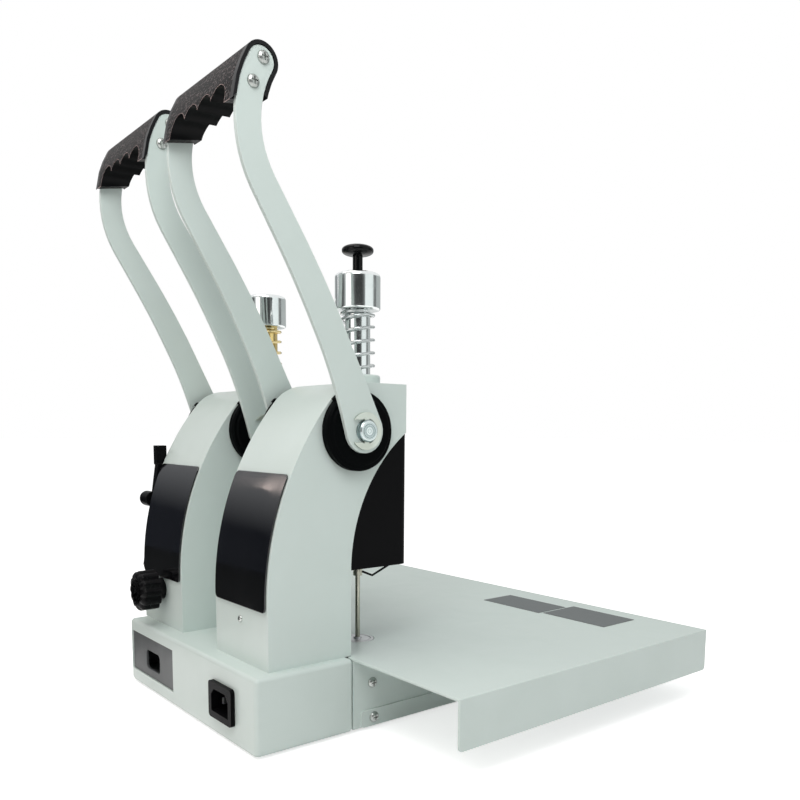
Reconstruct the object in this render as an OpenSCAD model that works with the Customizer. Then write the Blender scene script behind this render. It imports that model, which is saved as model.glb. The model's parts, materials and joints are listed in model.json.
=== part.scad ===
// Two-head machine that drills a stack of documents and closes it with a plastic tube rivet.
// Frame: +X to the operator's right, -Y to the operator, +Z up, Z = 0 on the desk.
// The origin is the middle of the footprint.

/* [Base] */
// Width of the base box
base_w = 200; // [185:1:240]
// Depth of the base box, front to back
base_d = 72; // [66:1:90]
// Height of the working table above the desk
base_h = 50; // [44:1:64]
// Sheet thickness of the base box
base_wall = 1.5; // [1:0.1:2]
// Radius of the base box's outer edges
base_edge = 3; // [2:0.5:5]
// How far the rubber feet stand below the bottom plate
foot_h = 1.6; // [1:0.1:3]
// Radius of a rubber foot
foot_r = 7; // [5:0.5:9]

/* [Table] */
// Width of the working table
table_w = 400; // [340:5:460]
// Depth of the working table in front of the base
table_d = 255; // [210:5:310]
// Thickness of the table sheet
table_t = 1.8; // [1:0.1:2.5]
// Height of the folded lip
lip_h = 31; // [22:1:38]
// Length of the wall under the table
under_d = 200; // [150:5:205]

/* [Heads] */
// Width of one head
head_w = 69; // [64:1:76]
// Distance between the two quill axes
head_pitch = 124; // [118:1:136]
// Height of the top of a head above the desk
head_top = 228; // [220:1:245]
// Distance of a head's rear face in front of the base's rear face
head_back = 13; // [8:1:18]
// Distance of the column's front edge from the base's rear face
column_front = 75; // [72:1:76]
// Distance of the top's front edge from the base's rear face
head_front = 120.5; // [120:0.5:130]
// Height at which the rear face starts to lean forward
arch_z = 90; // [80:1:100]
// Radius of the arched rear face
arch_r = 195; // [180:5:220]
// Radius of the rounded crown
crown_r = 32; // [24:1:36]
// Radius of the side plates' curved front edge
swan_r = 111; // [100:1:125]
// Height of the nose's underside above the desk
nose_z = 106.5; // [100:1:112]
// Sheet thickness of a head
shell_t = 1.5; // [1:0.1:2]

/* [Quills] */
// Radius of a quill
quill_r = 8.6; // [8.4:0.1:8.7]
// Radius of the cap on a quill
cap_r = 15.5; // [14.5:0.5:18]
// Height of the cap
cap_h = 24.5; // [20:0.5:30]
// Height of the cap's underside above the desk at rest
cap_z = 278.5; // [276:0.5:279]
// Radius of the spring wire
wire_r = 1.1; // [0.9:0.1:1.3]
// Number of turns of a return spring
spring_turns = 7; // [5:1:7]
// Running clearance on the radius of a guided shaft
run_fit = 0.06; // [0.02:0.01:0.1]

/* [Rack and pinion] */
// Tooth size (module)
tooth_m = 1.25; // [1.2:0.05:1.25]
// Number of teeth on the pinion
pinion_teeth = 32; // [28:4:32]
// Distance of the rack's pitch line from the quill's axis
rack_line = 7.25; // [7.1:0.05:7.3]
// Face width of the pinion
pinion_w = 12; // [8:1:14]
// Backlash on the pitch line
backlash = 0.5; // [0.4:0.1:0.6]

/* [Levers] */
// Distance of the lever pivot in front of the base's rear face
pivot_in = 78; // [76:1:80]
// Height of the lever pivot above the desk
pivot_z = 197; // [194:1:200]
// Radius of the lever shaft
shaft_r = 7; // [6:0.5:8]
// Thickness of a lever arm
arm_t = 3; // [2.5:0.5:5]
// Thickness of the bearing disc between a head and an arm
disc_t = 8; // [6:0.5:10]
// Radius of the bearing disc
disc_r = 25.5; // [22:0.5:28]
// Half of the arm's width at the pivot
arm_foot = 14; // [12:0.5:15]
// Half of the arm's width at the grip
arm_tip = 7.8; // [7:0.1:9]
// Lean of the arm at the pivot, from upright
arm_lean = 20; // [16:1:24]
// Steepest lean of the arm
arm_lean_max = 32; // [28:1:34]
// Radius of the arm's long lower curve
arm_low_r = 600; // [560:10:640]
// Length of the arm's straight part
arm_straight = 27.5; // [20:0.5:36]
// Radius of the arm's upper curve
arm_high_r = 62; // [58:1:76]
// Forward lean of the grip end
grip_lean = 30; // [20:1:34]
// Length of the grip along the arm
grip_l = 20; // [17:0.5:26]
// Wall of the grip's rim round the arm end
grip_rim = 2.3; // [1.8:0.1:3]
// Radius of one finger groove
finger_r = 11.5; // [11:0.1:12.5]
// Distance of a groove's axis below the grip's lower edge
finger_drop = 5; // [4:0.5:6]

/* [Guide pin] */
// Radius of the guide pin
pin_r = 1.7; // [1.5:0.1:2]
// Radius of the pin's lifting button
button_r = 10.8; // [9:0.2:13]
// Radius of the stem under the button
stem_r = 3.4; // [3:0.1:3.8]
// Height of the stem between the cap and the button
stem_h = 11.5; // [8:0.5:14]

/* [Drill drive] */
// Radius of the drill spindle
spindle_r = 4; // [3.5:0.1:4.2]
// Radius of the hollow drill
drill_r = 3; // [2.5:0.5:3.5]
// Radius of the motor pulley at the belt
motor_pulley_r = 8; // [6:0.5:9]
// Radius of the spindle pulley at the belt
spindle_pulley_r = 12.5; // [10:0.5:13]
// Thickness of the belt
belt_t = 1.6; // [1:0.1:2]
// Width of the belt
belt_w = 6; // [5:0.5:8]
// Radius of the motor's body
motor_r = 21; // [16:0.5:21.5]

/* [Rear fittings] */
// Width of the power inlet's flange
inlet_w = 31; // [28:0.5:33]
// Height of the power inlet's flange
inlet_h = 24; // [22:0.5:26]
// Width of the chip drawer's front
drawer_w = 76; // [60:1:80]
// Height of the chip drawer's front
drawer_h = 30; // [24:1:32]
// Height of the finger opening above the drawer's lower edge
pull_z = 6; // [4:0.5:8]
// Width of the finger opening in the drawer
pull_w = 25; // [20:1:30]
// Height of the finger opening in the drawer
pull_h = 14; // [11:1:16]
// Height of a rear panel
panel_h = 84; // [70:1:88]
// Radius of the star knob
star_r = 15; // [12:0.5:16]

/* [Hidden] */

gap = 0.3;                              // clearance between pieces that don't touch
eps = 0.01;                             // overlap of cutting tools

// Lever line: two arcs joined by a straight part, in the plane Y-Z, from the pivot.
arc_step = 6;                           // degrees per point on the lever's outline
low_span = arm_lean_max - arm_lean;
high_span = arm_lean_max + grip_lean;
low_len = arm_low_r * low_span * PI / 180;
high_len = arm_high_r * high_span * PI / 180;
arm_len = low_len + arm_straight + high_len;
function low_y(a) = arm_low_r * (cos(arm_lean) - cos(a));
function low_z(a) = arm_low_r * (sin(a) - sin(arm_lean));
joint_y = low_y(arm_lean_max) + arm_straight * sin(arm_lean_max);
joint_z = low_z(arm_lean_max) + arm_straight * cos(arm_lean_max);
// Point and lean of the lever line at the distance s from the pivot
function arm_at(s) =
    s < low_len ? let (a = arm_lean + low_span * s / low_len) [low_y(a), low_z(a), a]
    : s < low_len + arm_straight ?
        let (d = s - low_len)
        [low_y(arm_lean_max) + d * sin(arm_lean_max),
         low_z(arm_lean_max) + d * cos(arm_lean_max), arm_lean_max]
    : let (a = arm_lean_max - (s - low_len - arm_straight) / arm_high_r * 180 / PI)
        [joint_y + arm_high_r * (cos(a) - cos(arm_lean_max)),
         joint_z + arm_high_r * (sin(arm_lean_max) - sin(a)), a];
// Half width of the arm: it narrows fast above the pivot and slowly further up
waist_s = 70;
waist_w = arm_tip + 2.2;
function arm_half(s) =
    s < waist_s ? arm_foot + (waist_w - arm_foot) * sin(90 * s / waist_s)
    : waist_w + (arm_tip - waist_w) * min(1, (s - waist_s) / (arm_len * 0.5));
function side_of(s, w) = let (p = arm_at(s)) [p[0] + w * cos(p[2]), p[1] - w * sin(p[2])];
arm_y_max = joint_y + arm_high_r * (1 - cos(arm_lean_max)) + arm_tip;
// Rearmost point of the grip: at its lower end, or at the arm's bend where it reaches that far
bend_s = low_len + arm_straight + arm_high_r * arm_lean_max * PI / 180;
grip_y_max = side_of(max(bend_s, arm_len - grip_l), arm_tip + grip_rim)[0];
rear_reach = max(0, max(arm_y_max, grip_y_max) - pivot_in);

// Places along the machine, measured forward from the base's rear face
bezel_t = 3.2;                          // the power switch's rim in front of the table's front fold
depth = base_d + table_d + rear_reach + bezel_t;
back_y = depth / 2 - rear_reach;
fold_y = -depth / 2 + bezel_t;
base_front_y = back_y - base_d;
pivot_y = back_y - pivot_in;
pinion_r = tooth_m * pinion_teeth / 2;
quill_reach = pinion_r + rack_line;     // from the lever pivot to the quill's axis
quill_y = pivot_y - quill_reach;
rivet_x = -head_pitch / 2 + 3.5;
drill_x = rivet_x + head_pitch;
head_in = head_w / 2 - shell_t;         // half of the room inside a head
arm_in = head_w / 2 + disc_t + gap;     // inner face of an arm from the head's middle
arm_out = arm_in + arm_t;
shaft_half = arm_out + 4.5;
crown_y = -head_back - arch_r
    + sqrt(pow(arch_r - crown_r, 2) - pow(head_top - crown_r - arch_z, 2));
crown_a = atan2(head_top - crown_r - arch_z, crown_y + head_back + arch_r);
cover_front = head_front + 3;
cover_top = pivot_z + 3;                // upper end of a nose cover
lap = 5;                                // a nose cover's depth behind the curved edge
cover_in = head_in - gap;               // half width of a nose cover

// Vertical places in a head
plate_z = foot_h;                       // underside of the bottom plate
plate_t = 1.5;
housing_z = plate_z + plate_t;
rack_gap = PI * tooth_m / 2 + backlash / 2;
collar_h = 7;
travel = cap_z - head_top - collar_h - 0.8;
lever_turn = travel / pinion_r * 180 / PI;
spring_r = (quill_r + gap + wire_r) / cos(22.5);
collar_bore = spring_r + wire_r + 0.45;
seat_z = pivot_z + 18;                  // spring seat on the guide block
guide_z = pivot_z - 14;                 // underside of the guide block
quill_low = 118;                        // lower end of the rivet quill
low_guide_z = 128;
drill_quill_low = nose_z + 66;
tool_z = base_h + travel + 0.4;         // lower end of the hollow drill at rest
punch_z = nose_z - 11;                 // lower end of the heated punch at rest
stem_low = cap_z - 20;
die_r = 11.5;
pad_r = 13;
frame_t = 5;                            // thickness of the frame's plates
frame_half = 27;                        // outer faces of the frame's plates
frame_front = head_front - shell_t - gap;
pulley_z = nose_z + 9;
belt_z = nose_z + 13;
motor_in = 45;                          // motor axis in front of the base's rear face
drawer_l = base_d - 12;
drawer_x = base_w / 2 - 3.5 - drawer_w / 2;
drawer_z = 11;
inlet_x = -base_w / 2 + 26 + inlet_w / 2;
inlet_z = 25;
panel_z = nose_z - 20;
panel_w = head_w - 3;
star_z = panel_z - 9;
cover_z = panel_z;
cover_t = 6;                            // thickness of the side cover
plunger_z = 142;
plunger_in = 23;
switch_x = table_w / 2 - 60;
switch_z = base_h - lip_h / 2;
foot_t = 4;                             // thickness of a frame's foot
bar_h = 10;                             // height of the bars under the table

echo(travel = travel, lever_turn = lever_turn, pinion_r = pinion_r, rack_line = rack_line, depth = depth);

white = [0.88, 0.92, 0.89];
black = [0.05, 0.05, 0.06];
steel = [0.70, 0.72, 0.74];
zinc = [0.78, 0.80, 0.78];
brass = [0.78, 0.66, 0.34];
grey = [0.27, 0.26, 0.27];
green = [0.10, 0.36, 0.22];

// ---------- shared shapes ----------

// Draws a Y-Z outline as a plate that starts at x0 and is w thick
module along_x(x0, w) {
    translate([x0, 0, 0]) rotate([90, 0, 90]) linear_extrude(w) children();
}

// Moves to a head: x of its quill axis, y = 0 on the base's rear face
module at_head(x) {
    translate([x, back_y, 0]) children();
}

module rod(r, z0, z1) {
    translate([0, 0, z0]) cylinder(h = z1 - z0, r = r, $fn = 64);
}

module tube(r_out, r_in, z0, z1) {
    difference() {
        rod(r_out, z0, z1);
        rod(r_in, z0 - eps, z1 + eps);
    }
}

// Flat rectangle with round corners, its lower left corner at the origin
module round_rect(w, h, r) {
    translate([r, 0]) square([w - 2 * r, h]);
    translate([0, r]) square([w, h - 2 * r]);
    for (x = [r, w - r], y = [r, h - r]) translate([x, y]) circle(r, $fn = 32);
}

// Upright pan-head screw with a cross recess, head down at z = 0, pointing to +Z
module pan_screw(head_r, thread_r, length) {
    difference() {
        rotate_extrude($fn = 32) polygon([
            [0, -head_r * 0.6], [head_r * 0.55, -head_r * 0.55], [head_r * 0.9, -head_r * 0.3],
            [head_r, 0], [0, 0]
        ]);
        for (a = [0, 90]) rotate(a) translate([0, 0, -head_r * 0.45])
            cube([head_r * 1.1, head_r * 0.22, head_r * 0.6], center = true);
    }
    cylinder(h = length, r = thread_r, $fn = 24);
}

// ---------- base ----------

module base_block() {
    r = base_edge;
    hull() {
        for (x = [-1, 1], y = [r, base_d - r])
            translate([x * (base_w / 2 - r), back_y - y, housing_z]) rotate_extrude($fn = 24)
                polygon(concat([[0, 0], [r, 0]], [for (a = [0:15:90])
                    [r * cos(a), base_h - housing_z - r + r * sin(a)]], [[0, base_h - housing_z]]));
    }
}

module base_housing() {
    color(white) difference() {
        base_block();
        translate([-base_w / 2 + base_wall, base_front_y + base_wall, housing_z - eps])
            cube([base_w - 2 * base_wall, base_d - 2 * base_wall, base_h - housing_z - base_wall]);
        // Drawer opening and power inlet opening in the rear face
        translate([drawer_x - drawer_w / 2 - gap, back_y - 4, drawer_z - gap])
            cube([drawer_w + 2 * gap, 8, drawer_h + 2 * gap]);
        translate([inlet_x - inlet_w / 2 + 2, back_y - 4, inlet_z - inlet_h / 2 + 2])
            cube([inlet_w - 4, 8, inlet_h - 4]);
        // Wiring openings up into both heads
        for (x = [rivet_x, drill_x]) translate([x - 12, back_y - head_back - 14, base_h - 4])
            cube([24, 8, 8]);
        // Open front behind the table frame
        translate([-base_w / 2 + 12, base_front_y - 1, housing_z - eps])
            cube([base_w - 24, 4, base_h - housing_z - 8]);
    }
}

// Plate under the base with the two rails of the chip drawer
module bottom_plate() {
    color(white) difference() {
        union() {
            translate([-base_w / 2 + 0.6, base_front_y + 0.6, plate_z])
                linear_extrude(plate_t) round_rect(base_w - 1.2, base_d - 1.2, base_edge);
            for (s = [-1, 1]) translate([drawer_x + s * (drawer_w / 2 - 6) - 2, base_front_y + 8, plate_z])
                cube([4, base_d - 14, drawer_z - plate_z - 0.2]);
        }
        for (x = [-1, 1], y = [14, base_d - 14])
            translate([x * (base_w / 2 - 14), back_y - y, plate_z]) rod(2.1, -eps, plate_t + eps);
    }
}

module foot(x, y) {
    translate([x, y, 0]) {
        rotate_extrude($fn = 40) polygon([
            [0, 0], [foot_r - 0.8, 0], [foot_r, foot_h], [0, foot_h]
        ]);
        rod(2, foot_h - eps, foot_h + 3);
    }
}

// Four feet under the base and two under the front of the table's tray
module rubber_feet() {
    color(black) {
        for (x = [-1, 1], y = [14, base_d - 14]) foot(x * (base_w / 2 - 14), back_y - y);
        for (x = [-1, 1]) foot(x * (base_w / 2 - 14), base_front_y - under_d + 10);
    }
}

// Sheet with a lip folded down along the left, the right and the front edge
module table_plate() {
    lip_z = base_h - lip_h;
    color(white) difference() {
        union() {
            translate([-table_w / 2, fold_y, base_h - table_t]) cube([table_w, table_d, table_t]);
            for (x = [-table_w / 2, table_w / 2 - table_t]) {
                along_x(x, table_t) translate([fold_y, lip_z]) round_rect(table_d, lip_h, 3);
                translate([x, fold_y, base_h - 6]) cube([table_t, table_d, 6]);
            }
            translate([-table_w / 2 + 3, fold_y, lip_z]) cube([table_w - 6, table_t, lip_h]);
        }
        translate([rivet_x, quill_y, 0]) rod(die_r + gap, base_h - 5, base_h + 1);
        translate([drill_x, quill_y, 0]) rod(pad_r + gap, base_h - 5, base_h + 1);
        translate([switch_x - 6.2, fold_y - 1, switch_z - 9.7]) cube([12.4, 5, 19.4]);
        // Notches for the heads, which stand a little in front of the base
        for (x = [rivet_x, drill_x])
            translate([x - head_w / 2 - gap, back_y - column_front - gap, base_h - table_t - 1])
                cube([head_w + 2 * gap, column_front - base_d + gap + 1, table_t + 2]);
    }
}

// Channel under the table: two side walls, the turned-up bottom tray and cross bars
module table_frame() {
    wall_top = base_h - table_t;
    // Hole through a side wall, along X, at the height z and t behind the frame screws
    module side_hole(z, t) {
        for (s = [-1, 1]) translate([s * (base_w / 2 - 2), base_front_y - 16 + t, z])
            rotate([0, 90, 0]) cylinder(h = 8, r = 2.3, center = true, $fn = 32);
    }
    color(white) difference() {
        union() {
            for (s = [-1, 1]) {
                x = s > 0 ? base_w / 2 - 1.2 - base_wall : -base_w / 2 + 1.2;
                translate([x, base_front_y - under_d, plate_z])
                    cube([base_wall, under_d - gap, wall_top - plate_z]);
                // Flange of the bottom tray outside the wall
                fx = s > 0 ? base_w / 2 - 1.2 : -base_w / 2;
                along_x(fx, 1.2) translate([base_front_y - under_d, plate_z])
                    round_rect(under_d - 6, 11.5, 3);
            }
            translate([-base_w / 2 + 1, base_front_y - under_d, plate_z])
                cube([base_w - 2, under_d - 6, plate_t]);
            translate([-base_w / 2 + 1.2, base_front_y - under_d, plate_z])
                cube([base_w - 2.4, base_wall, wall_top - plate_z]);
            for (y = [under_d * 0.4, under_d * 0.8])
                translate([-base_w / 2 + 1.2, base_front_y - y, wall_top - bar_h])
                    cube([base_w - 2.4, base_wall, bar_h]);
        }
        for (x = [-1, 1])
            translate([x * (base_w / 2 - 14), base_front_y - under_d + 10, plate_z])
                rod(2.1, -eps, plate_t + eps);
        side_hole(31, 0);
        side_hole(plate_z + 6, -0.7);
        side_hole(plate_z + 6, 0.8);
    }
}

// Pan-head screws of the table frame, the column screws and the crown screws
module machine_screws() {
    color(zinc) {
        for (s = [-1, 1]) {
            translate([s * (base_w / 2 - 1.2), base_front_y - 16, 31])
                rotate([0, s * -90, 0]) pan_screw(3.6, 2, 6);
            translate([s * base_w / 2, base_front_y - 16.7, plate_z + 6])
                rotate([0, s * -90, 0]) pan_screw(3.6, 2, 7);
        }
        translate([rivet_x, back_y - head_back, star_z]) rotate([90, 0, 0]) pan_screw(2.4, 1, 5);
        for (x = [rivet_x, drill_x])
            translate([x - 22, back_y - 90, head_top]) rotate([180, 0, 0]) pan_screw(2.4, 1.2, 5);
    }
}

// ---------- rear fittings and electrics ----------

module power_inlet() {
    slot_w = inlet_w - 8;
    slot_h = inlet_h - 9;
    color(black) translate([inlet_x, back_y, inlet_z]) difference() {
        union() {
            rotate([-90, 0, 0]) linear_extrude(3)
                translate([-inlet_w / 2, -inlet_h / 2]) round_rect(inlet_w, inlet_h, 2.5);
            translate([-inlet_w / 2 + 2.3, -18, -inlet_h / 2 + 2.3])
                cube([inlet_w - 4.6, 18, inlet_h - 4.6]);
        }
        // Socket with two cut corners
        rotate([90, 0, 0]) translate([0, 0, -4]) linear_extrude(19) polygon([
            [-slot_w / 2, -slot_h / 2], [slot_w / 2, -slot_h / 2], [slot_w / 2, slot_h / 2 - 4],
            [slot_w / 2 - 4, slot_h / 2], [-slot_w / 2 + 4, slot_h / 2], [-slot_w / 2, slot_h / 2 - 4]
        ]);
    }
}

module inlet_pins() {
    color(brass) translate([inlet_x, back_y, inlet_z])
        for (p = [[-7, -1.5], [0, 2.5], [7, -1.5]])
            translate([p[0] - 1, -15, p[1] - 2]) cube([2, 12, 4]);
}

module heater_transformer() {
    color(grey) translate([rivet_x - 22, back_y - 62, housing_z]) {
        cube([44, 12, 34]);
        translate([0, -0.1, 0]) translate([6, 12, 4]) cube([32, 12, 26]);
        translate([0, 24 - 0.1, 0]) cube([44, 12, 34]);
    }
}

module control_board() {
    color(green) translate([-6, back_y - 58, housing_z + 6]) {
        cube([1.6, 44, 30]);
        for (z = [0, 15]) translate([1.6, 6 + z, 5]) cube([9, 11, 14]);
        for (y = [5, 39]) translate([-3, y - 2, -6]) cube([4.6, 4, 7]);
    }
}

module switch_frame() {
    color(black) translate([switch_x, fold_y, switch_z]) difference() {
        union() {
            rotate([90, 0, 0]) linear_extrude(bezel_t) translate([-7.5, -11]) round_rect(15, 22, 1.5);
            translate([-5.9, 0, -9.4]) cube([11.8, 14, 18.8]);
        }
        translate([-4.8, -4, -8]) cube([9.6, 15, 16]);
    }
}

// Rocker on its pivot pin, tilted so that its lower half stands out
module power_rocker() {
    color(black) translate([switch_x, fold_y + 3, switch_z]) rotate([8, 0, 0]) {
        difference() {
            translate([-4.4, -5, -7.2]) cube([8.8, 7, 14.4]);
            translate([0, -25.5, 0]) rotate([0, 90, 0])
                cylinder(h = 10, r = 21.5, center = true, $fn = 96);
        }
        rotate([0, 90, 0]) cylinder(h = 9.4, r = 1.5, center = true, $fn = 32);
    }
}

// Open tray with a finger opening in its front
module chip_drawer() {
    tray_w = drawer_w - 4;
    wall = 1.6;
    color(grey) translate([drawer_x, back_y, drawer_z]) difference() {
        union() {
            translate([-drawer_w / 2, -3, 0]) cube([drawer_w, 2, drawer_h]);
            translate([-tray_w / 2, -drawer_l, 0]) cube([tray_w, drawer_l - 2, drawer_h - 6]);
        }
        translate([-tray_w / 2 + wall, -drawer_l + wall, wall])
            cube([tray_w - 2 * wall, drawer_l - 3 - wall, drawer_h]);
        rotate([90, 0, 0]) translate([-pull_w / 2, pull_z, -4]) linear_extrude(9)
            round_rect(pull_w, pull_h, 3);
    }
}

// ---------- heads ----------

// Side view of a head, g inside its outer face; the front stays open
module head_outline(g) {
    front = head_front - max(g, 0);
    difference() {
        union() {
            translate([-front, base_h]) square([front - head_back - g, arch_z - base_h + eps]);
            intersection() {
                translate([-head_back - arch_r, arch_z]) circle(arch_r - g, $fn = 256);
                translate([-front, arch_z]) square([front, head_top - g - arch_z]);
            }
        }
        difference() {
            translate([crown_y, head_top - crown_r]) polygon([
                [0, 0], 90 * [cos(crown_a), sin(crown_a)], [90, 90], [0, 90]
            ]);
            translate([crown_y, head_top - crown_r]) circle(crown_r - g, $fn = 128);
        }
    }
}

// What is cut from the side plates below the curved front edge
module swan_cut(extra) {
    translate([-column_front - swan_r, nose_z]) intersection() {
        circle(swan_r + extra, $fn = 256);
        translate([-100, -eps]) square([300, 200]);
    }
    translate([-head_front - 1, base_h - 1])
        square([head_front - column_front + extra + 1, nose_z - base_h + 1]);
}

module head_shell(x) {
    opening = cover_top + gap - base_h;
    color(white) at_head(x) difference() {
        along_x(-head_w / 2, head_w) head_outline(0);
        along_x(-head_in, 2 * head_in) union() {
            head_outline(shell_t);
            translate([-head_front - 1, base_h - 1]) square([head_front - head_back - shell_t + 1, 30]);
            translate([-head_front - 1, base_h - 1]) square([30, opening + 1]);
        }
        along_x(-head_w / 2 - 1, head_w + 2) swan_cut(0);
        translate([0, -pivot_in, pivot_z]) rotate([0, 90, 0])
            cylinder(h = head_w + 2, r = shaft_r + 3 + gap, center = true, $fn = 64);
        translate([0, -pivot_in - quill_reach, 0]) rod(collar_bore, head_top - 5, head_top + 1);
        // Holes for the small rear screw or the star knob's shank, and for the crown screw
        translate([0, -head_back + 1, star_z]) rotate([90, 0, 0])
            cylinder(h = 4, r = x == drill_x ? 3.2 : 1.3, $fn = 32);
        translate([-22, -90, 0]) rod(1.5, head_top - 5, head_top + 1);
    }
}

module rear_panel(x) {
    color(black) at_head(x) intersection() {
        along_x(-panel_w / 2, panel_w) difference() {
            head_outline(-1.2);
            head_outline(-0.2);
        }
        rotate([90, 0, 0]) translate([-panel_w / 2, panel_z, 0]) linear_extrude(head_front)
            round_rect(panel_w, panel_h, 3.5);
    }
}

// Plan of a nose cover, g inside its outer face
module nose_plan(g) {
    r = 5;
    w = 2 * (cover_in - g);
    translate([-w / 2, -cover_front + g]) union() {
        translate([r - g, 0]) square([w - 2 * r + 2 * g, r]);
        translate([0, r - g]) square([w, 60]);
        for (x = [r - g, w - r + g]) translate([x, r - g]) circle(r - g, $fn = 48);
    }
}

module nose_side() {
    intersection() {
        union() {
            translate([-column_front - swan_r, nose_z]) circle(swan_r + lap, $fn = 256);
            translate([-cover_front, nose_z]) square([cover_front - head_front + 8, cover_top - nose_z]);
        }
        translate([-cover_front - 1, nose_z]) square([cover_front, cover_top - nose_z]);
    }
}

module nose_cover(x, hole_r) {
    wall = 1.8;
    color(black) at_head(x) difference() {
        intersection() {
            along_x(-cover_in, 2 * cover_in) nose_side();
            linear_extrude(head_top) nose_plan(0);
        }
        intersection() {
            along_x(-cover_in, 2 * cover_in) nose_side_open(wall);
            linear_extrude(head_top) nose_plan(wall);
        }
        translate([0, -pivot_in - quill_reach, 0]) rod(hole_r, nose_z - 1, nose_z + 5);
    }
}

// Room inside a nose cover: open to the rear, and to the top behind its front ledge
module nose_side_open(wall) {
    room = cover_top - nose_z - 2 * wall;
    translate([-cover_front - 1, nose_z + wall]) square([cover_front, room]);
    translate([-head_front + shell_t - gap, nose_z + wall]) square([cover_front, head_top]);
}

module bearing_discs(x) {
    color(black) at_head(x) for (s = [-1, 1]) scale([s, 1, 1])
        translate([head_w / 2, -pivot_in, pivot_z]) rotate([0, 90, 0]) {
            difference() {
                union() {
                    rotate_extrude($fn = 96) polygon([
                        [0, 0], [disc_r - 0.6, 0], [disc_r, 0.6], [disc_r, disc_t - 2.5],
                        [disc_r - 1.2, disc_t - 1.2], [disc_r - 3, disc_t - 1.2], [disc_r - 4, disc_t],
                        [0, disc_t]
                    ]);
                    rod(shaft_r + 3, -shell_t - 1.5, eps);
                    rotate(140) translate([disc_r - 1.5, -1.8, 1]) cube([3.4, 3.6, 3]);
                }
                rod(shaft_r + run_fit, -5, disc_t + 1);
            }
        }
}

module collar(x) {
    color(white) at_head(x) translate([0, -pivot_in - quill_reach, 0]) rotate_extrude($fn = 96)
        polygon([
            [collar_bore, head_top], [cap_r, head_top], [cap_r, head_top + collar_h - 1],
            [cap_r - 1, head_top + collar_h], [collar_bore + 1, head_top + collar_h],
            [collar_bore, head_top + collar_h - 1]
        ]);
}

// Welded frame: two side plates, a guide block for the quill and a lower guide
module head_frame(x, low_z, low_h, low_bore) {
    color(steel) at_head(x) difference() {
        union() {
            for (s = [-1, 1]) scale([s, 1, 1]) along_x(frame_half - frame_t, frame_t) frame_plate();
            translate([-frame_half, -column_front + lap + 1, base_h])
                cube([2 * frame_half, 40, foot_t]);
            // Guide block round the quill, and the lower guide
            translate([-frame_half, -frame_front, guide_z])
                cube([2 * frame_half, 26, seat_z - guide_z]);
            translate([-frame_half, -frame_front, low_z]) cube([2 * frame_half, 26, low_h]);
        }
        translate([0, -pivot_in - quill_reach, 0]) {
            rod(quill_r + run_fit, guide_z - 1, seat_z + 1);
            rod(low_bore, low_z - 1, low_z + low_h + 1);
        }
        // Window for the pinion
        translate([-pinion_w / 2 - 1, -pivot_in - pinion_r - tooth_m - 1, guide_z - 1])
            cube([pinion_w + 2, 60, seat_z - guide_z + 2]);
        translate([0, -pivot_in, pivot_z]) rotate([0, 90, 0])
            cylinder(h = head_w, r = shaft_r + run_fit, center = true, $fn = 64);
    }
}

// Side plate of a frame: foot on the base, a leaning stem and a head round both axes
module frame_plate() {
    front = -column_front + lap + 1;
    difference() {
        union() {
            polygon([
                [front, base_h], [front + 40, base_h], [front + 40, arch_z + 4],
                [-pivot_in + 15, pivot_z + 4], [-pivot_in, pivot_z + 18],
                [-frame_front, pivot_z + 18], [-frame_front, nose_z + 2.3], [front, nose_z + 2.3]
            ]);
            translate([-pivot_in, pivot_z]) circle(18, $fn = 64);
        }
        translate([-column_front - 2, nose_z + 42]) circle(15, $fn = 48);
    }
}

module return_spring(x) {
    sides = 6;
    rings = 8;
    run = 2 * wire_r;
    bottom = seat_z + wire_r;
    height = cap_z - seat_z - 2 * wire_r;
    steps = spring_turns * rings;
    // Middle line: a straight end, the helix, a straight end
    function coil_at(i) = let (a = 360 * i / rings)
        [spring_r * cos(a), spring_r * sin(a), bottom + height * i / steps];
    path = concat(
        [coil_at(0) + [0, -run, 0]],
        [for (i = [0:steps]) coil_at(i)],
        [coil_at(steps) + [0, run, 0]]
    );
    n = len(path);
    function dir(i) = let (d = path[min(n - 1, i + 1)] - path[max(0, i - 1)]) d / norm(d);
    points = [for (i = [0:n - 1]) let (
        t = dir(i),
        out = let (o = [path[i][0], path[i][1], 0]) o / norm(o),
        u = let (v = out - (out * t) * t) v / norm(v),
        w = cross(t, u)
    ) for (k = [0:sides - 1]) path[i] + wire_r * (cos(60 * k) * u + sin(60 * k) * w)];
    faces = concat(
        [for (k = [1:sides - 2]) [0, k, k + 1]],
        [for (k = [1:sides - 2]) [(n - 1) * sides, (n - 1) * sides + k + 1, (n - 1) * sides + k]],
        [for (i = [0:n - 2], k = [0:sides - 1]) let (
            a = i * sides + k, b = i * sides + (k + 1) % sides) [a, a + sides, b]],
        [for (i = [0:n - 2], k = [0:sides - 1]) let (
            b = i * sides + (k + 1) % sides) [i * sides + k + sides, b + sides, b]]
    );
    // Least distance between points of two neighbouring turns, less the wire
    self_gap = min([for (i = [0:steps - rings]) norm(coil_at(i) - coil_at(i + rings))]) - 2 * wire_r;
    echo(spring_self_gap = self_gap, closed_length = travel_left());
    translate([x, quill_y, 0]) polyhedron(points, faces, convexity = 10);
}

function travel_left() = cap_z - seat_z - travel - (spring_turns + 1) * 2 * wire_r;

// ---------- levers ----------

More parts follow.
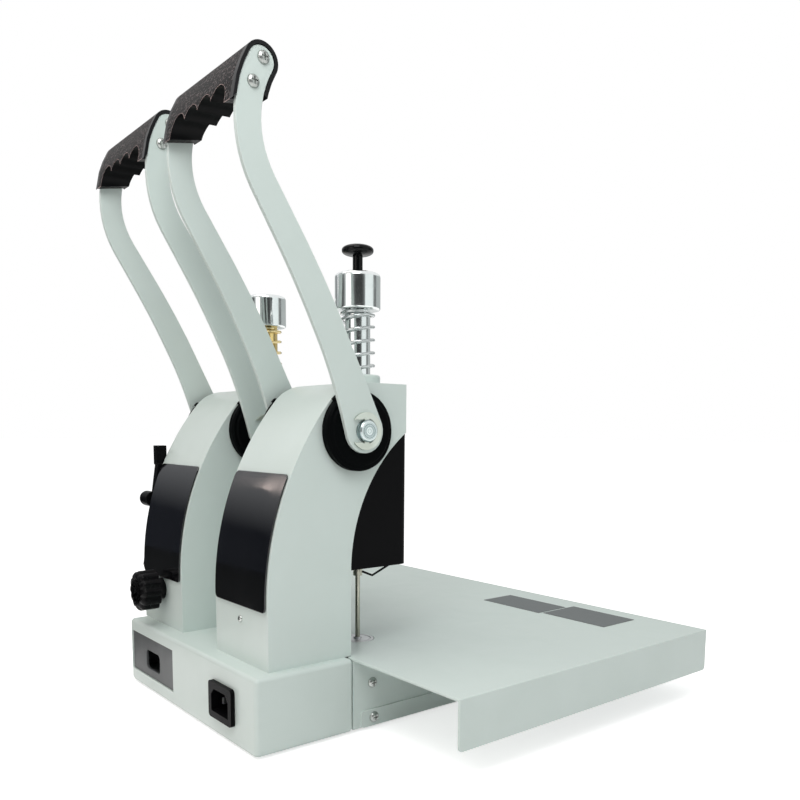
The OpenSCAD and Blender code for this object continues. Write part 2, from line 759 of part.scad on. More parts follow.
// Outline of an arm from the distance s0 to its round tip, widened by w; foot = its round foot
module arm_outline(s0, w, foot = false) {
    steps = 40;
    function s_at(i) = s0 + (arm_len - s0) * i / steps;
    function end_at(s, r, f) = let (p = arm_at(s), a = p[2])
        [p[0] + r * (cos(f) * cos(a) + sin(f) * sin(a)), p[1] + r * (sin(f) * cos(a) - cos(f) * sin(a))];
    polygon(concat(
        [for (i = [0:steps]) side_of(s_at(i), arm_half(s_at(i)) + w)],
        [for (f = [15:15:165]) end_at(arm_len, arm_tip + w, f)],
        [for (i = [steps:-1:0]) side_of(s_at(i), -arm_half(s_at(i)) - w)],
        foot ? [for (f = [195:15:345]) end_at(0, arm_foot + w, f)] : []
    ));
}

module at_pivot(x) {
    translate([x, pivot_y, pivot_z]) children();
}

screw_s = [arm_len + 2, arm_len - 13.3];

module lever_arms(x) {
    color(white) at_pivot(x) for (s = [-1, 1]) scale([s, 1, 1]) difference() {
        along_x(arm_in, arm_t) arm_outline(0, 0, true);
        rotate([0, 90, 0]) cylinder(h = arm_out + 1, r = shaft_r, $fn = 64);
        for (d = screw_s) translate([0, arm_at(d)[0], arm_at(d)[1]]) rotate([0, 90, 0])
            cylinder(h = arm_out + 1, r = 2.1, $fn = 24);
    }
}

module lever_shaft(x) {
    clip_at = arm_out + 0.2;
    color(steel) at_pivot(x) rotate([0, 90, 0]) rotate_extrude($fn = 64) polygon([
        [0, -shaft_half], [shaft_r - 1, -shaft_half], [shaft_r, -shaft_half + 1],
        [shaft_r, -clip_at - 1.6], [shaft_r - 1.5, -clip_at - 1.6], [shaft_r - 1.5, -clip_at],
        [shaft_r, -clip_at], [shaft_r, clip_at], [shaft_r - 1.5, clip_at],
        [shaft_r - 1.5, clip_at + 1.6], [shaft_r, clip_at + 1.6],
        [shaft_r, shaft_half - 1], [shaft_r - 1, shaft_half], [0, shaft_half]
    ]);
}

// Snap rings with three inner lugs, open to the rear
module lever_clips(x) {
    color(zinc) at_pivot(x) for (s = [-1, 1]) scale([s, 1, 1])
        translate([arm_out + 0.25, 0, 0]) rotate([0, 90, 0]) linear_extrude(1.5) {
            difference() {
                circle(shaft_r + 4.8, $fn = 64);
                circle(shaft_r + 0.9, $fn = 64);
                rotate(90) translate([0, -shaft_r]) square([30, 2 * shaft_r]);
            }
            for (a = [180, 270, 0]) rotate(a) translate([shaft_r - 1.4, -1.8]) square([2.8, 3.6]);
        }
}

// Involute pinion: points of one flank, from the root to the tip
pressure = 20;
base_r = pinion_r * cos(pressure);
tip_r = pinion_r + tooth_m - 0.1;
root_r = pinion_r - 1.25 * tooth_m - 0.15;
function roll(r) = r <= base_r ? 0 : sqrt(pow(r / base_r, 2) - 1) * 180 / PI;
function inv(r) = roll(r) - atan(roll(r) * PI / 180);
half_tooth = 90 / pinion_teeth - backlash / 4 / pinion_r * 180 / PI;
function flank(r) = half_tooth + inv(pinion_r) - inv(r);
flank_radii = [for (i = [0:4]) base_r + 0.02 + (tip_r - base_r - 0.02) * i / 4];

module lever_pinion(x) {
    tooth = concat(
        [[root_r, -flank(base_r)]], [for (r = flank_radii) [r, -flank(r)]],
        [for (i = [4:-1:0]) [flank_radii[i], flank(flank_radii[i])]], [[root_r, flank(base_r)]]
    );
    color(steel) at_pivot(x) rotate([0, -90, 0]) translate([0, 0, -pinion_w / 2]) difference() {
        union() {
            linear_extrude(pinion_w) rotate(-90) polygon([
                for (t = [0:pinion_teeth - 1], p = tooth) let (a = 360 * t / pinion_teeth + p[1])
                    p[0] * [cos(a), sin(a)]
            ]);
            rod(11.5, -4, pinion_w + 4);
        }
        rod(shaft_r, -5, pinion_w + 5);
    }
}

// Moulded handle between the arms, with a rim round each arm end and four finger grooves
module lever_grip(x) {
    tail = arm_len - grip_l;
    pitch = 2 * arm_in / 4;
    low = arm_at(tail);
    color(black) at_pivot(x) difference() {
        union() {
            along_x(-arm_in, 2 * arm_in) arm_outline(tail, grip_rim);
            for (s = [-1, 1]) scale([s, 1, 1]) along_x(arm_in - eps, arm_t + 0.6) difference() {
                arm_outline(tail, grip_rim);
                arm_outline(tail - 4, gap);
            }
        }
        for (i = [-1.5:1:1.5]) translate([i * pitch, low[0], low[1]]) rotate([-low[2], 0, 0])
            translate([0, 0, -finger_drop]) rotate([90, 0, 0])
                cylinder(h = 60, r = finger_r, center = true, $fn = 48);
        for (s = [-1, 1], d = screw_s) translate([s * arm_in, arm_at(d)[0], arm_at(d)[1]])
            rotate([0, 90, 0]) cylinder(h = 20, r = 1.9, center = true, $fn = 24);
    }
}

module grip_screws(x) {
    color(zinc) at_pivot(x) for (s = [-1, 1], d = screw_s)
        translate([s * arm_out, arm_at(d)[0], arm_at(d)[1]]) rotate([0, s * -90, 0])
            pan_screw(3.7, 1.9, 12);
}

// ---------- quills ----------

module rack_teeth(z_low, z_high) {
    depth_out = quill_r + 1;
    tan_p = tan(pressure);
    root = rack_line - 1.25 * tooth_m;
    first = ceil((z_low - pivot_z) / (PI * tooth_m));
    last = floor((z_high - pivot_z) / (PI * tooth_m));
    // Flat on the tooth tips, then one trapezoid gap for each tooth of the pinion
    along_x(-quill_r, 2 * quill_r)
        translate([rack_line + tooth_m, z_low - 3]) square([quill_r, z_high - z_low + 6]);
    for (i = [first:last]) along_x(-quill_r, 2 * quill_r) translate([0, pivot_z + i * PI * tooth_m])
        polygon([
            [root, -rack_gap / 2 + (rack_line - root) * tan_p],
            [depth_out, -rack_gap / 2 - (depth_out - rack_line) * tan_p],
            [depth_out, rack_gap / 2 + (depth_out - rack_line) * tan_p],
            [root, rack_gap / 2 - (rack_line - root) * tan_p]
        ]);
}

module quill(x, low, bore_low, bore_top) {
    color(zinc) translate([x, quill_y, 0]) difference() {
        rod(quill_r, low, cap_z + 6);
        rod(bore_low, low - 1, cap_z + 7);
        rod(bore_top, stem_low - 8, cap_z + 7);
        rack_teeth(pivot_z - 12, pivot_z + travel + 12);
    }
}

module cap(x, bore) {
    color(steel) translate([x, quill_y, cap_z]) difference() {
        rotate_extrude($fn = 96) union() {
            square([cap_r - 3, cap_h]);
            translate([0, 1.5]) square([cap_r, cap_h - 4.5]);
            translate([cap_r - 3, cap_h - 3]) circle(3, $fn = 48);
            translate([cap_r - 1.5, 1.5]) circle(1.5, $fn = 32);
            square([cap_r - 1.5, 3]);
        }
        rod(quill_r, -1, 6);
        rod(bore, -1, cap_h + 1);
    }
}

// Heated tip below the rivet quill, with a recess that forms the rivet's flange
module rivet_punch() {
    color(brass) translate([rivet_x, quill_y, 0]) difference() {
        union() {
            rod(7, nose_z + 1, quill_low);
            rod(3.3, punch_z, nose_z + 2);
        }
        rod(pin_r + run_fit, punch_z - 1, quill_low + 1);
        translate([0, 0, punch_z - eps]) cylinder(h = 1, r1 = 2.8, r2 = 2.2, $fn = 48);
    }
}

// Die let into the table, with the seat for the rivet's lower flange
module rivet_die() {
    color(zinc) translate([rivet_x, quill_y, 0]) difference() {
        union() {
            rod(die_r, base_h - 8, base_h);
            rod(2.9, base_h - eps, base_h + 1.2);
        }
        rod(pin_r + 0.15, base_h - 6, base_h + 2);
        difference() {
            rod(9.6, base_h - 0.6, base_h + 0.5);
            rod(8.6, base_h - 1, base_h + 1);
        }
    }
}

module die_heater() {
    color(steel) translate([rivet_x, quill_y, 0]) {
        rod(die_r + 3, base_h - 20, base_h - 8);
        rod(5, plate_z + plate_t, base_h - 20);
        translate([-22, -22, plate_z + plate_t]) cube([44, 44, 3]);
    }
}

module drill_pad() {
    color(white) translate([drill_x, quill_y, 0]) {
        rod(pad_r, base_h - 7, base_h);
        rod(9, plate_z + plate_t + 3, base_h - 7);
        translate([-20, -20, plate_z + plate_t]) cube([40, 40, 3]);
    }
}

module guide_pin() {
    color(steel) translate([rivet_x, quill_y, 0]) {
        rod(pin_r, base_h - 6, stem_low + 1);
        rod(stem_r, stem_low, cap_z + cap_h + stem_h);
    }
}

module pin_button() {
    z = cap_z + cap_h + stem_h;
    color(black) translate([rivet_x, quill_y, z]) rotate_extrude($fn = 72) polygon(concat(
        [[0, 0], [stem_r + 1.4, 0], [stem_r + 2.6, 0.6]],
        [for (a = [-70:14:70]) [button_r - 2.1 + 2.1 * cos(a), 3.3 + 2.1 * sin(a)]],
        [for (a = [66:8:90]) [(button_r - 1.6) * cos(a) * 2, 4.1 + 3.4 * sin(a)]]
    ));
}

// ---------- drill drive ----------

module drill_spindle() {
    color(steel) translate([drill_x, quill_y, 0]) difference() {
        union() {
            rod(spindle_r, nose_z + 3, cap_z + 5.9);
            rod(spindle_r + 1, stem_low - 7.9, cap_z + 5.9);
            // Key that slides in the pulley
            translate([spindle_r - 0.5, -1, nose_z + 6]) cube([1.5, 2, 56]);
        }
        rod(drill_r - 1, nose_z + 1, cap_z + 7);
    }
}

module hollow_drill() {
    tip = tool_z;
    color(steel) translate([drill_x, quill_y, 0]) difference() {
        union() {
            rod(spindle_r, nose_z - 1, nose_z + 3);
            rotate_extrude($fn = 48) polygon([
                [drill_r - 1, nose_z], [drill_r, nose_z], [drill_r, tip + 1.5], [drill_r - 0.9, tip],
                [drill_r - 1, tip]
            ]);
        }
        rod(drill_r - 1, tip - 1, nose_z + 4);
    }
}

module spindle_pulley() {
    low = belt_z - belt_w / 2 - 0.6;
    high = belt_z + belt_w / 2 + 0.6;
    color(steel) translate([drill_x, quill_y, 0]) difference() {
        union() {
            rod(spindle_pulley_r + 1.4, low - 1.6, low);
            rod(spindle_pulley_r - gap, low - eps, high + eps);
            rod(spindle_pulley_r + 1.4, high, high + 1.6);
            rod(8, nose_z + 3.2, low);
        }
        rod(spindle_r + run_fit, nose_z, belt_z + 20);
        translate([spindle_r - 1, -1.3, nose_z]) cube([2.4, 2.6, 40]);
    }
}

module motor_pulley() {
    low = belt_z - belt_w / 2 - 0.6;
    high = belt_z + belt_w / 2 + 0.6;
    color(steel) translate([drill_x, back_y - motor_in, 0]) {
        rod(motor_pulley_r + 1.4, low - 1.6, low);
        rod(motor_pulley_r - gap, low - eps, high + eps);
        rod(motor_pulley_r + 1.4, high, high + 1.6);
        rod(3, low - 8, high + 3);
    }
}

// Flat belt round both pulleys; the tangent points follow from the two radii
module drive_belt() {
    span = pivot_in + quill_reach - motor_in;
    tilt = asin((spindle_pulley_r - motor_pulley_r) / span);
    module loop(g) {
        rs = spindle_pulley_r + g;
        rm = motor_pulley_r + g;
        circle(rs, $fn = 96);
        translate([0, span]) circle(rm, $fn = 96);
        polygon([
            [rs * cos(tilt), rs * sin(tilt)], [rm * cos(tilt), span + rm * sin(tilt)],
            [-rm * cos(tilt), span + rm * sin(tilt)], [-rs * cos(tilt), rs * sin(tilt)]
        ]);
    }
    color(black) translate([drill_x, quill_y, belt_z - belt_w / 2]) linear_extrude(belt_w)
        difference() {
            loop(belt_t);
            loop(0);
        }
}

module drill_motor() {
    top = belt_z - belt_w / 2 - 5;
    color(grey) translate([drill_x, back_y - motor_in, 0]) difference() {
        union() {
            rod(motor_r - 1, base_h + foot_t, top - 2);
            rod(motor_r, base_h + foot_t + 4, top - 6);
            rod(8, top - 2.5, top);
        }
        rod(3 + run_fit, top - 8, top + 1);
    }
}

// ---------- side fittings of the drill head ----------

// Black moulded cover on the head's right side with an upright post
module side_cover() {
    color(black) at_head(drill_x) {
        difference() {
            along_x(head_w / 2, cover_t) polygon([
                [-head_back - 2, cover_z], [-head_back - 1, cover_z + 4],
                [-head_back - 13, cover_z + panel_h], [-head_back - 36, cover_z + panel_h],
                [-head_back - 46, cover_z + panel_h - 14], [-head_back - 50, cover_z + 10],
                [-head_back - 44, cover_z]
            ]);
            translate([head_w / 2 - 1, -plunger_in, plunger_z]) rotate([0, 90, 0])
                cylinder(h = cover_t + 2, r = 6 + run_fit, $fn = 64);
        }
        along_x(head_w / 2 + 1, cover_t - 1) polygon([
            [-head_back - 12, cover_z + panel_h - 1], [-head_back - 12, cover_z + panel_h + 14],
            [-head_back - 21, cover_z + panel_h + 14], [-head_back - 21, cover_z + panel_h + 5],
            [-head_back - 18, cover_z + panel_h - 1]
        ]);
    }
}

module side_plunger() {
    color(grey) at_head(drill_x) translate([head_w / 2 + 4, -plunger_in, plunger_z])
        rotate([0, 90, 0]) rotate_extrude($fn = 64) polygon([
            [0, 0], [6, 0], [6, 13], [5.4, 14.1], [4.4, 14.5], [0, 14.5]
        ]);
}

module star_knob() {
    lobes = 12;
    color(black) translate([drill_x, back_y - head_back, star_z]) rotate([-90, 0, 0]) {
        difference() {
            union() {
                translate([0, 0, 7]) cylinder(h = 14, r = star_r - 1.2, $fn = 72);
                for (i = [0:lobes - 1]) rotate(360 * i / lobes) translate([star_r - 2.4, 0, 7])
                    cylinder(h = 14, r = 2.4, $fn = 24);
                translate([0, 0, gap]) cylinder(h = 7, r = 8, $fn = 48);
            }
            translate([0, 0, 19.5]) cylinder(h = 3, r = star_r - 5, $fn = 64);
        }
        translate([0, 0, -5]) cylinder(h = 7, r = 2.9, $fn = 32);
    }
}

// ---------- named pieces of the rivet head ----------

module rivet_frame() { head_frame(rivet_x, low_guide_z, 14, quill_r + run_fit); }
module rivet_shell() { head_shell(rivet_x); }
module rivet_rear_panel() { rear_panel(rivet_x); }
module rivet_nose_cover() { nose_cover(rivet_x, quill_r + 1.5); }
module rivet_bearing_discs() { bearing_discs(rivet_x); }
module rivet_collar() { collar(rivet_x); }
module rivet_spring() { color(steel) return_spring(rivet_x); }
module rivet_arms() { lever_arms(rivet_x); }
module rivet_shaft() { lever_shaft(rivet_x); }
module rivet_pinion() { lever_pinion(rivet_x); }
module rivet_clips() { lever_clips(rivet_x); }
module rivet_grip() { lever_grip(rivet_x); }
module rivet_grip_screws() { grip_screws(rivet_x); }
module rivet_quill() { quill(rivet_x, quill_low, pin_r + gap, stem_r + gap); }
module rivet_cap() { cap(rivet_x, stem_r + run_fit); }

// ---------- named pieces of the drill head ----------

module drill_frame() { head_frame(drill_x, nose_z + 2.3, 5, 8 + run_fit); }
module drill_shell() { head_shell(drill_x); }
module drill_rear_panel() { rear_panel(drill_x); }
module drill_nose_cover() { nose_cover(drill_x, spindle_r + 2); }
module drill_bearing_discs() { bearing_discs(drill_x); }
module drill_collar() { collar(drill_x); }
module drill_spring() { color(brass) return_spring(drill_x); }
module drill_arms() { lever_arms(drill_x); }
module drill_shaft() { lever_shaft(drill_x); }
module drill_pinion() { lever_pinion(drill_x); }
module drill_clips() { lever_clips(drill_x); }
module drill_grip() { lever_grip(drill_x); }
module drill_grip_screws() { grip_screws(drill_x); }
module drill_quill() { quill(drill_x, drill_quill_low, spindle_r + run_fit, spindle_r + 1.3); }
module drill_cap() { cap(drill_x, 2); }

base_housing();
bottom_plate();
rubber_feet();
table_plate();
table_frame();
machine_screws();
power_inlet();
inlet_pins();
heater_transformer();
control_board();
switch_frame();
power_rocker();
chip_drawer();
rivet_frame();
rivet_shell();
rivet_rear_panel();
rivet_nose_cover();
rivet_bearing_discs();
rivet_collar();
rivet_spring();
rivet_die();
die_heater();
rivet_arms();
rivet_shaft();
rivet_pinion();
rivet_clips();
rivet_grip();
rivet_grip_screws();
rivet_quill();
rivet_cap();
rivet_punch();
guide_pin();
pin_button();
drill_frame();
drill_shell();
drill_rear_panel();
drill_nose_cover();
drill_bearing_discs();
drill_collar();
drill_spring();
drill_pad();
drill_arms();
drill_shaft();
drill_pinion();
drill_clips();
drill_grip();
drill_grip_screws();
drill_quill();
drill_cap();
drill_spindle();
hollow_drill();
spindle_pulley();
motor_pulley();
drive_belt();
drill_motor();
side_cover();
side_plunger();
star_knob();
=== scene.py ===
import bpy
import json
import math
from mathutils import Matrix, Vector


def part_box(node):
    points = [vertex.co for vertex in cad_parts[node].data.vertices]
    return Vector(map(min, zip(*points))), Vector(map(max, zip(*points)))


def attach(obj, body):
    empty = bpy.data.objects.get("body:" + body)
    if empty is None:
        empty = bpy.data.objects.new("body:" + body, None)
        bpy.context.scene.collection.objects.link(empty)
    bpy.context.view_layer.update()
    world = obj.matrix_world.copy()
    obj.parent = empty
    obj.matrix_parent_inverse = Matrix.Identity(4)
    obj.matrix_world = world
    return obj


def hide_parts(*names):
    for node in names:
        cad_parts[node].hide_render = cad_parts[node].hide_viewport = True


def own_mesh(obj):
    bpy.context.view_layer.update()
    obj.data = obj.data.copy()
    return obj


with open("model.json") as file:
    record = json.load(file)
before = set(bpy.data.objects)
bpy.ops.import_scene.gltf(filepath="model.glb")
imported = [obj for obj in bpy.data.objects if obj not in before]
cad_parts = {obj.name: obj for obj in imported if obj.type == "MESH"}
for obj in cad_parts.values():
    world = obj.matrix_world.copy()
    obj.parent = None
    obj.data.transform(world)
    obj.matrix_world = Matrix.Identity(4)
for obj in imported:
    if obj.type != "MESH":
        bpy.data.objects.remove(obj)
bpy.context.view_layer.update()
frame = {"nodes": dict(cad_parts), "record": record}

# ---------------------------------------------------------------- base box
# A box folded from 1.5 mm steel sheet, its corners welded and ground smooth, which carries both
# heads. Like every painted sheet here it is powder coated in a pale mint white, which leaves a
# fine orange peel and a slightly thinner, lighter coat along the edges.

node_body = {}
for body, names in frame["record"]["behaviour"]["bodies"].items():
    for name in names:
        node_body[name] = body


def add_node(tree, kind, inputs=None, **settings):
    """Places a node; each input is a plain value or another node's output."""
    node = tree.nodes.new(kind)
    for setting, value in settings.items():
        setattr(node, setting, value)
    for socket, value in (inputs or {}).items():
        if isinstance(value, bpy.types.NodeSocket):
            tree.links.new(value, node.inputs[socket])
        else:
            node.inputs[socket].default_value = value
    return node


def start_group(name, takes, gives):
    """An empty node group with its named inputs and outputs."""
    group = bpy.data.node_groups.new(name, "ShaderNodeTree")
    for socket, value in takes.items():
        kind = "NodeSocketVector" if isinstance(value, tuple) else "NodeSocketFloat"
        entry = group.interface.new_socket(name=socket, in_out="INPUT", socket_type=kind)
        entry.default_value = value
    for socket, kind in gives.items():
        group.interface.new_socket(name=socket, in_out="OUTPUT", socket_type=kind)
    enter, leave = group.nodes.new("NodeGroupInput"), group.nodes.new("NodeGroupOutput")
    return group, enter.outputs, leave.inputs


def use_group(tree, group, **values):
    """Places a shared group with a material's own values, and gives its outputs."""
    return add_node(tree, "ShaderNodeGroup", values, node_tree=group).outputs


# Edge mask: 0 on a flat face, 1 where a rounded normal leaves the real one. It marks edge wear,
# and on the grips the painted highlight along the finger grooves
edge_wear_and_highlight, enter, leave = start_group("edge wear and highlight", {"Radius": 0.001, "Gain": 5.0},
                                      {"Mask": "NodeSocketFloat"})
rounded = add_node(edge_wear_and_highlight, "ShaderNodeBevel", {"Radius": enter["Radius"]}, samples=4)
flat = add_node(edge_wear_and_highlight, "ShaderNodeNewGeometry")
agree = add_node(edge_wear_and_highlight, "ShaderNodeVectorMath",
                 {0: rounded.outputs[0], 1: flat.outputs["Normal"]}, operation="DOT_PRODUCT")
differ = add_node(edge_wear_and_highlight, "ShaderNodeMath", {0: 1.0, 1: agree.outputs["Value"]},
                  operation="SUBTRACT")
where = add_node(edge_wear_and_highlight, "ShaderNodeTexCoord")
patchy = add_node(edge_wear_and_highlight, "ShaderNodeTexNoise", {"Vector": where.outputs["Object"],
                                                    "Scale": 180.0, "Detail": 3.0})
gain = add_node(edge_wear_and_highlight, "ShaderNodeMath", {0: differ.outputs[0], 1: enter["Gain"]},
                operation="MULTIPLY")
broken = add_node(edge_wear_and_highlight, "ShaderNodeMath", {0: gain.outputs[0], 1: patchy.outputs["Fac"]},
                  operation="MULTIPLY", use_clamp=True)
edge_wear_and_highlight.links.new(broken.outputs[0], leave["Mask"])

# Skin: the small unevenness of a sprayed, baked or moulded surface, as a normal and a height
skin, enter, leave = start_group("skin", {"Scale": 700.0, "Strength": 0.1, "Distance": 0.0001},
                                 {"Normal": "NodeSocketVector", "Height": "NodeSocketFloat"})
where = add_node(skin, "ShaderNodeTexCoord")
waves = add_node(skin, "ShaderNodeTexNoise", {"Vector": where.outputs["Object"],
                                              "Scale": enter["Scale"], "Detail": 2.0})
bump = add_node(skin, "ShaderNodeBump", {"Strength": enter["Strength"],
                                         "Distance": enter["Distance"],
                                         "Height": waves.outputs["Fac"]})
skin.links.new(bump.outputs[0], leave["Normal"])
skin.links.new(waves.outputs["Fac"], leave["Height"])

# Handling: soft smudges and a little dust on what faces up
handling, enter, leave = start_group("handling", {"Size": 25.0},
                                     {"Smudge": "NodeSocketFloat", "Dust": "NodeSocketFloat"})
where = add_node(handling, "ShaderNodeTexCoord")
smudges = add_node(handling, "ShaderNodeTexNoise", {"Vector": where.outputs["Object"],
                                                    "Scale": enter["Size"], "Detail": 4.0,
                                                    "Distortion": 0.6})
smudge = add_node(handling, "ShaderNodeMapRange", {"Value": smudges.outputs["Fac"],
                                                   "From Min": 0.38, "From Max": 0.68})
handling.links.new(smudge.outputs[0], leave["Smudge"])
up = add_node(handling, "ShaderNodeSeparateXYZ", {"Vector": where.outputs["Normal"]})
facing_up = add_node(handling, "ShaderNodeMapRange", {"Value": up.outputs["Z"],
                                                      "From Min": 0.5, "From Max": 1.0})
specks = add_node(handling, "ShaderNodeTexNoise", {"Vector": where.outputs["Object"],
                                                   "Scale": 900.0, "Detail": 2.0})
few = add_node(handling, "ShaderNodeMapRange", {"Value": specks.outputs["Fac"],
                                                "From Min": 0.55, "From Max": 0.75})
dust = add_node(handling, "ShaderNodeMath", {0: facing_up.outputs[0], 1: few.outputs[0]},
                operation="MULTIPLY", use_clamp=True)
handling.links.new(dust.outputs[0], leave["Dust"])


def start_finish(name, **even):
    """A material whose even values are set on the shader's own sockets."""
    material = bpy.data.materials.new(name)
    material.use_nodes = True
    shader = material.node_tree.nodes["Principled BSDF"]
    for socket, value in even.items():
        shader.inputs[socket.replace("_", " ")].default_value = value
    return material, material.node_tree, shader


def blend_colours(tree, share, plain, marked):
    """Goes from the plain to the marked colour, or a node that gives one, as share goes 0 to 1."""
    plain, marked = ((*c, 1.0) if isinstance(c, tuple) else c for c in (plain, marked))
    return add_node(tree, "ShaderNodeMix", {0: share, 6: plain, 7: marked},
                    data_type="RGBA").outputs[2]


def spread(tree, value, low, high):
    """Maps a 0 to 1 value to the range low to high."""
    return add_node(tree, "ShaderNodeMapRange", {"Value": value, "To Min": low,
                                                 "To Max": high}).outputs[0]


def feed(tree, shader, **sources):
    """Links each source to the shader socket that it is named for."""
    for socket, source in sources.items():
        tree.links.new(source, shader.inputs[socket.replace("_", " ")])


def coated_finish(name, coat, soiled, edge, rough, peel, sheen=0.5):
    """A sprayed or moulded coat: skin, smudges, dust and wear along the edges over one colour."""
    smudged, dusted, dulled = 0.45, 0.35, 0.12
    material, tree, shader = start_finish(name, Specular_IOR_Level=sheen)
    touch = use_group(tree, handling, Size=22.0)
    edge_mask = use_group(tree, edge_wear_and_highlight, Radius=0.0009, Gain=4.0)
    colour = blend_colours(tree, spread(tree, touch["Smudge"], 0.0, smudged), coat, soiled)
    colour = blend_colours(tree, spread(tree, touch["Dust"], 0.0, dusted), colour, soiled)
    colour = blend_colours(tree, edge_mask["Mask"], colour, edge)
    bumpy = use_group(tree, skin, Scale=peel[0], Strength=peel[1], Distance=peel[2])
    feed(tree, shader, Base_Color=colour, Normal=bumpy["Normal"],
         Roughness=spread(tree, touch["Smudge"], rough, rough + dulled))
    return material


mint_powder = coated_finish("mint powder coat", coat=(0.645, 0.735, 0.705),
                            soiled=(0.60, 0.69, 0.655), edge=(0.82, 0.88, 0.86), rough=0.28,
                            peel=(620.0, 0.16, 0.00012), sheen=0.4)


def only(piece):
    """Selects this piece alone and makes it the active one."""
    bpy.ops.object.select_all(action="DESELECT")
    piece.select_set(True)
    bpy.context.view_layer.objects.active = piece


def apply_modifier(piece, kind, **settings):
    """Puts a modifier on the piece and applies it at once."""
    modifier = piece.modifiers.new(kind.lower(), kind)
    for setting, value in settings.items():
        setattr(modifier, setting, value)
    only(piece)
    bpy.ops.object.modifier_apply(modifier=modifier.name)


def smooth(piece, degrees=50, keep_flats=True):
    """Shades a piece smooth over edges that turn less than this, its flat faces kept flat."""
    only(piece)
    bpy.ops.object.shade_smooth_by_angle(angle=math.radians(degrees))
    if keep_flats:
        apply_modifier(piece, "WEIGHTED_NORMAL", keep_sharp=True, weight=50)


def stand_for(piece, node, finish):
    """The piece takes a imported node's place, body and finish slot."""
    piece.data.materials.clear()
    piece.data.materials.append(finish)
    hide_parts(node)
    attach(piece, node_body[node])


def loose_copy(node):
    """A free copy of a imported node's mesh, its triangles merged back into whole faces."""
    piece = bpy.data.objects.new(node + "_dressed", frame["nodes"][node].data.copy())
    bpy.context.scene.collection.objects.link(piece)
    only(piece)
    if piece.data.has_custom_normals:
        bpy.ops.mesh.customdata_custom_splitnormals_clear()
    bpy.ops.object.mode_set(mode="EDIT")
    bpy.ops.mesh.select_all(action="SELECT")
    bpy.ops.mesh.remove_doubles(threshold=0.000001)
    bpy.ops.mesh.dissolve_limited(angle_limit=math.radians(0.5))
    bpy.ops.object.mode_set(mode="OBJECT")
    return piece


def break_edges(piece, edge_r, steps=3, break_over=28):
    """Rounds every edge to a small radius, as real sheet, castings and mouldings have."""
    apply_modifier(piece, "BEVEL", width=edge_r, segments=steps, limit_method="ANGLE",
                   angle_limit=math.radians(break_over), use_clamp_overlap=True,
                   miter_outer="MITER_ARC")
    smooth(piece)


def dressed(node, finish, edge_r=0.0006, steps=3, break_over=28):
    """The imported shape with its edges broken, in its own finish."""
    piece = loose_copy(node)
    break_edges(piece, edge_r, steps, break_over)
    stand_for(piece, node, finish)
    return piece


dressed("base_housing", mint_powder, edge_r=0.0005)

# ---------------------------------------------------------------- bottom plate and feet
# The bottom plate is a painted sheet with the drawer's rails, screwed up into the base box.
# Six moulded rubber feet are screwed under it and under the table's tray.

dressed("bottom_plate", mint_powder, edge_r=0.0003)

black_rubber = coated_finish("black rubber", coat=(0.018, 0.018, 0.019),
                             soiled=(0.05, 0.048, 0.045), edge=(0.035, 0.035, 0.036), rough=0.62,
                             peel=(1500.0, 0.3, 0.0001), sheen=0.3)
dressed("rubber_feet", black_rubber, edge_r=0.0005)

# ---------------------------------------------------------------- power inlet
# A snap-in mains inlet of moulded black plastic with three flat plated pins. Behind it the
# heater's transformer and the control board stand on the bottom plate.

moulded_black = coated_finish("moulded black", coat=(0.0025, 0.0025, 0.003),
                              soiled=(0.005, 0.005, 0.0055), edge=(0.03, 0.03, 0.032), rough=0.34,
                              peel=(2200.0, 0.25, 0.00006), sheen=0.05)
dressed("power_inlet", moulded_black, edge_r=0.0005)


def leave_as_packed(node, finish):
    """A node whose shape is right keeps it and only gets its finish."""
    data = frame["nodes"][node].data
    data.materials.clear()
    data.materials.append(finish)


def metal_finish(name, bright, dull, rough, lines, bite):
    """Bare or plated metal: polishing lines, dull smudges and brighter rubbed edges."""
    smudged, dulled, rubbed = 0.6, 0.12, 1.15
    material, tree, shader = start_finish(name, Metallic=1.0)
    touch = use_group(tree, handling, Size=60.0)
    edge_mask = use_group(tree, edge_wear_and_highlight, Radius=0.0005, Gain=3.0)
    colour = blend_colours(tree, spread(tree, touch["Smudge"], 0.0, smudged), bright, dull)
    colour = blend_colours(tree, edge_mask["Mask"], colour,
                           tuple(min(1.0, c * rubbed) for c in bright))
    place = add_node(tree, "ShaderNodeTexCoord")
    drawn = add_node(tree, "ShaderNodeMapping", {"Vector": place.outputs["Object"],
                                                 "Scale": lines})
    fine = add_node(tree, "ShaderNodeTexNoise", {"Vector": drawn.outputs[0], "Scale": 1.0,
                                                 "Detail": 3.0})
    scratch = add_node(tree, "ShaderNodeBump", {"Strength": bite, "Distance": 0.00002,
                                                "Height": fine.outputs["Fac"]})
    feed(tree, shader, Base_Color=colour, Normal=scratch.outputs[0],
         Roughness=spread(tree, touch["Smudge"], rough, rough + dulled))
    return material


# Polishing lines: how fine they are along X, Y and Z
around_z = (350.0, 350.0, 4200.0)
along_x = (400.0, 4000.0, 4000.0)
plated_brass = metal_finish("brass", bright=(0.82, 0.63, 0.27), dull=(0.62, 0.46, 0.19),
                            rough=0.20, lines=around_z, bite=0.25)
plated_pin = metal_finish("plated pins", bright=(0.86, 0.87, 0.88), dull=(0.7, 0.71, 0.72),
                          rough=0.25, lines=around_z, bite=0.2)
leave_as_packed("inlet_pins", plated_pin)

varnished_grey = coated_finish("varnished grey", coat=(0.16, 0.165, 0.17),
                               soiled=(0.11, 0.11, 0.115), edge=(0.3, 0.3, 0.31), rough=0.45,
                               peel=(1200.0, 0.2, 0.0001))
dressed("heater_transformer", varnished_grey, edge_r=0.0006)

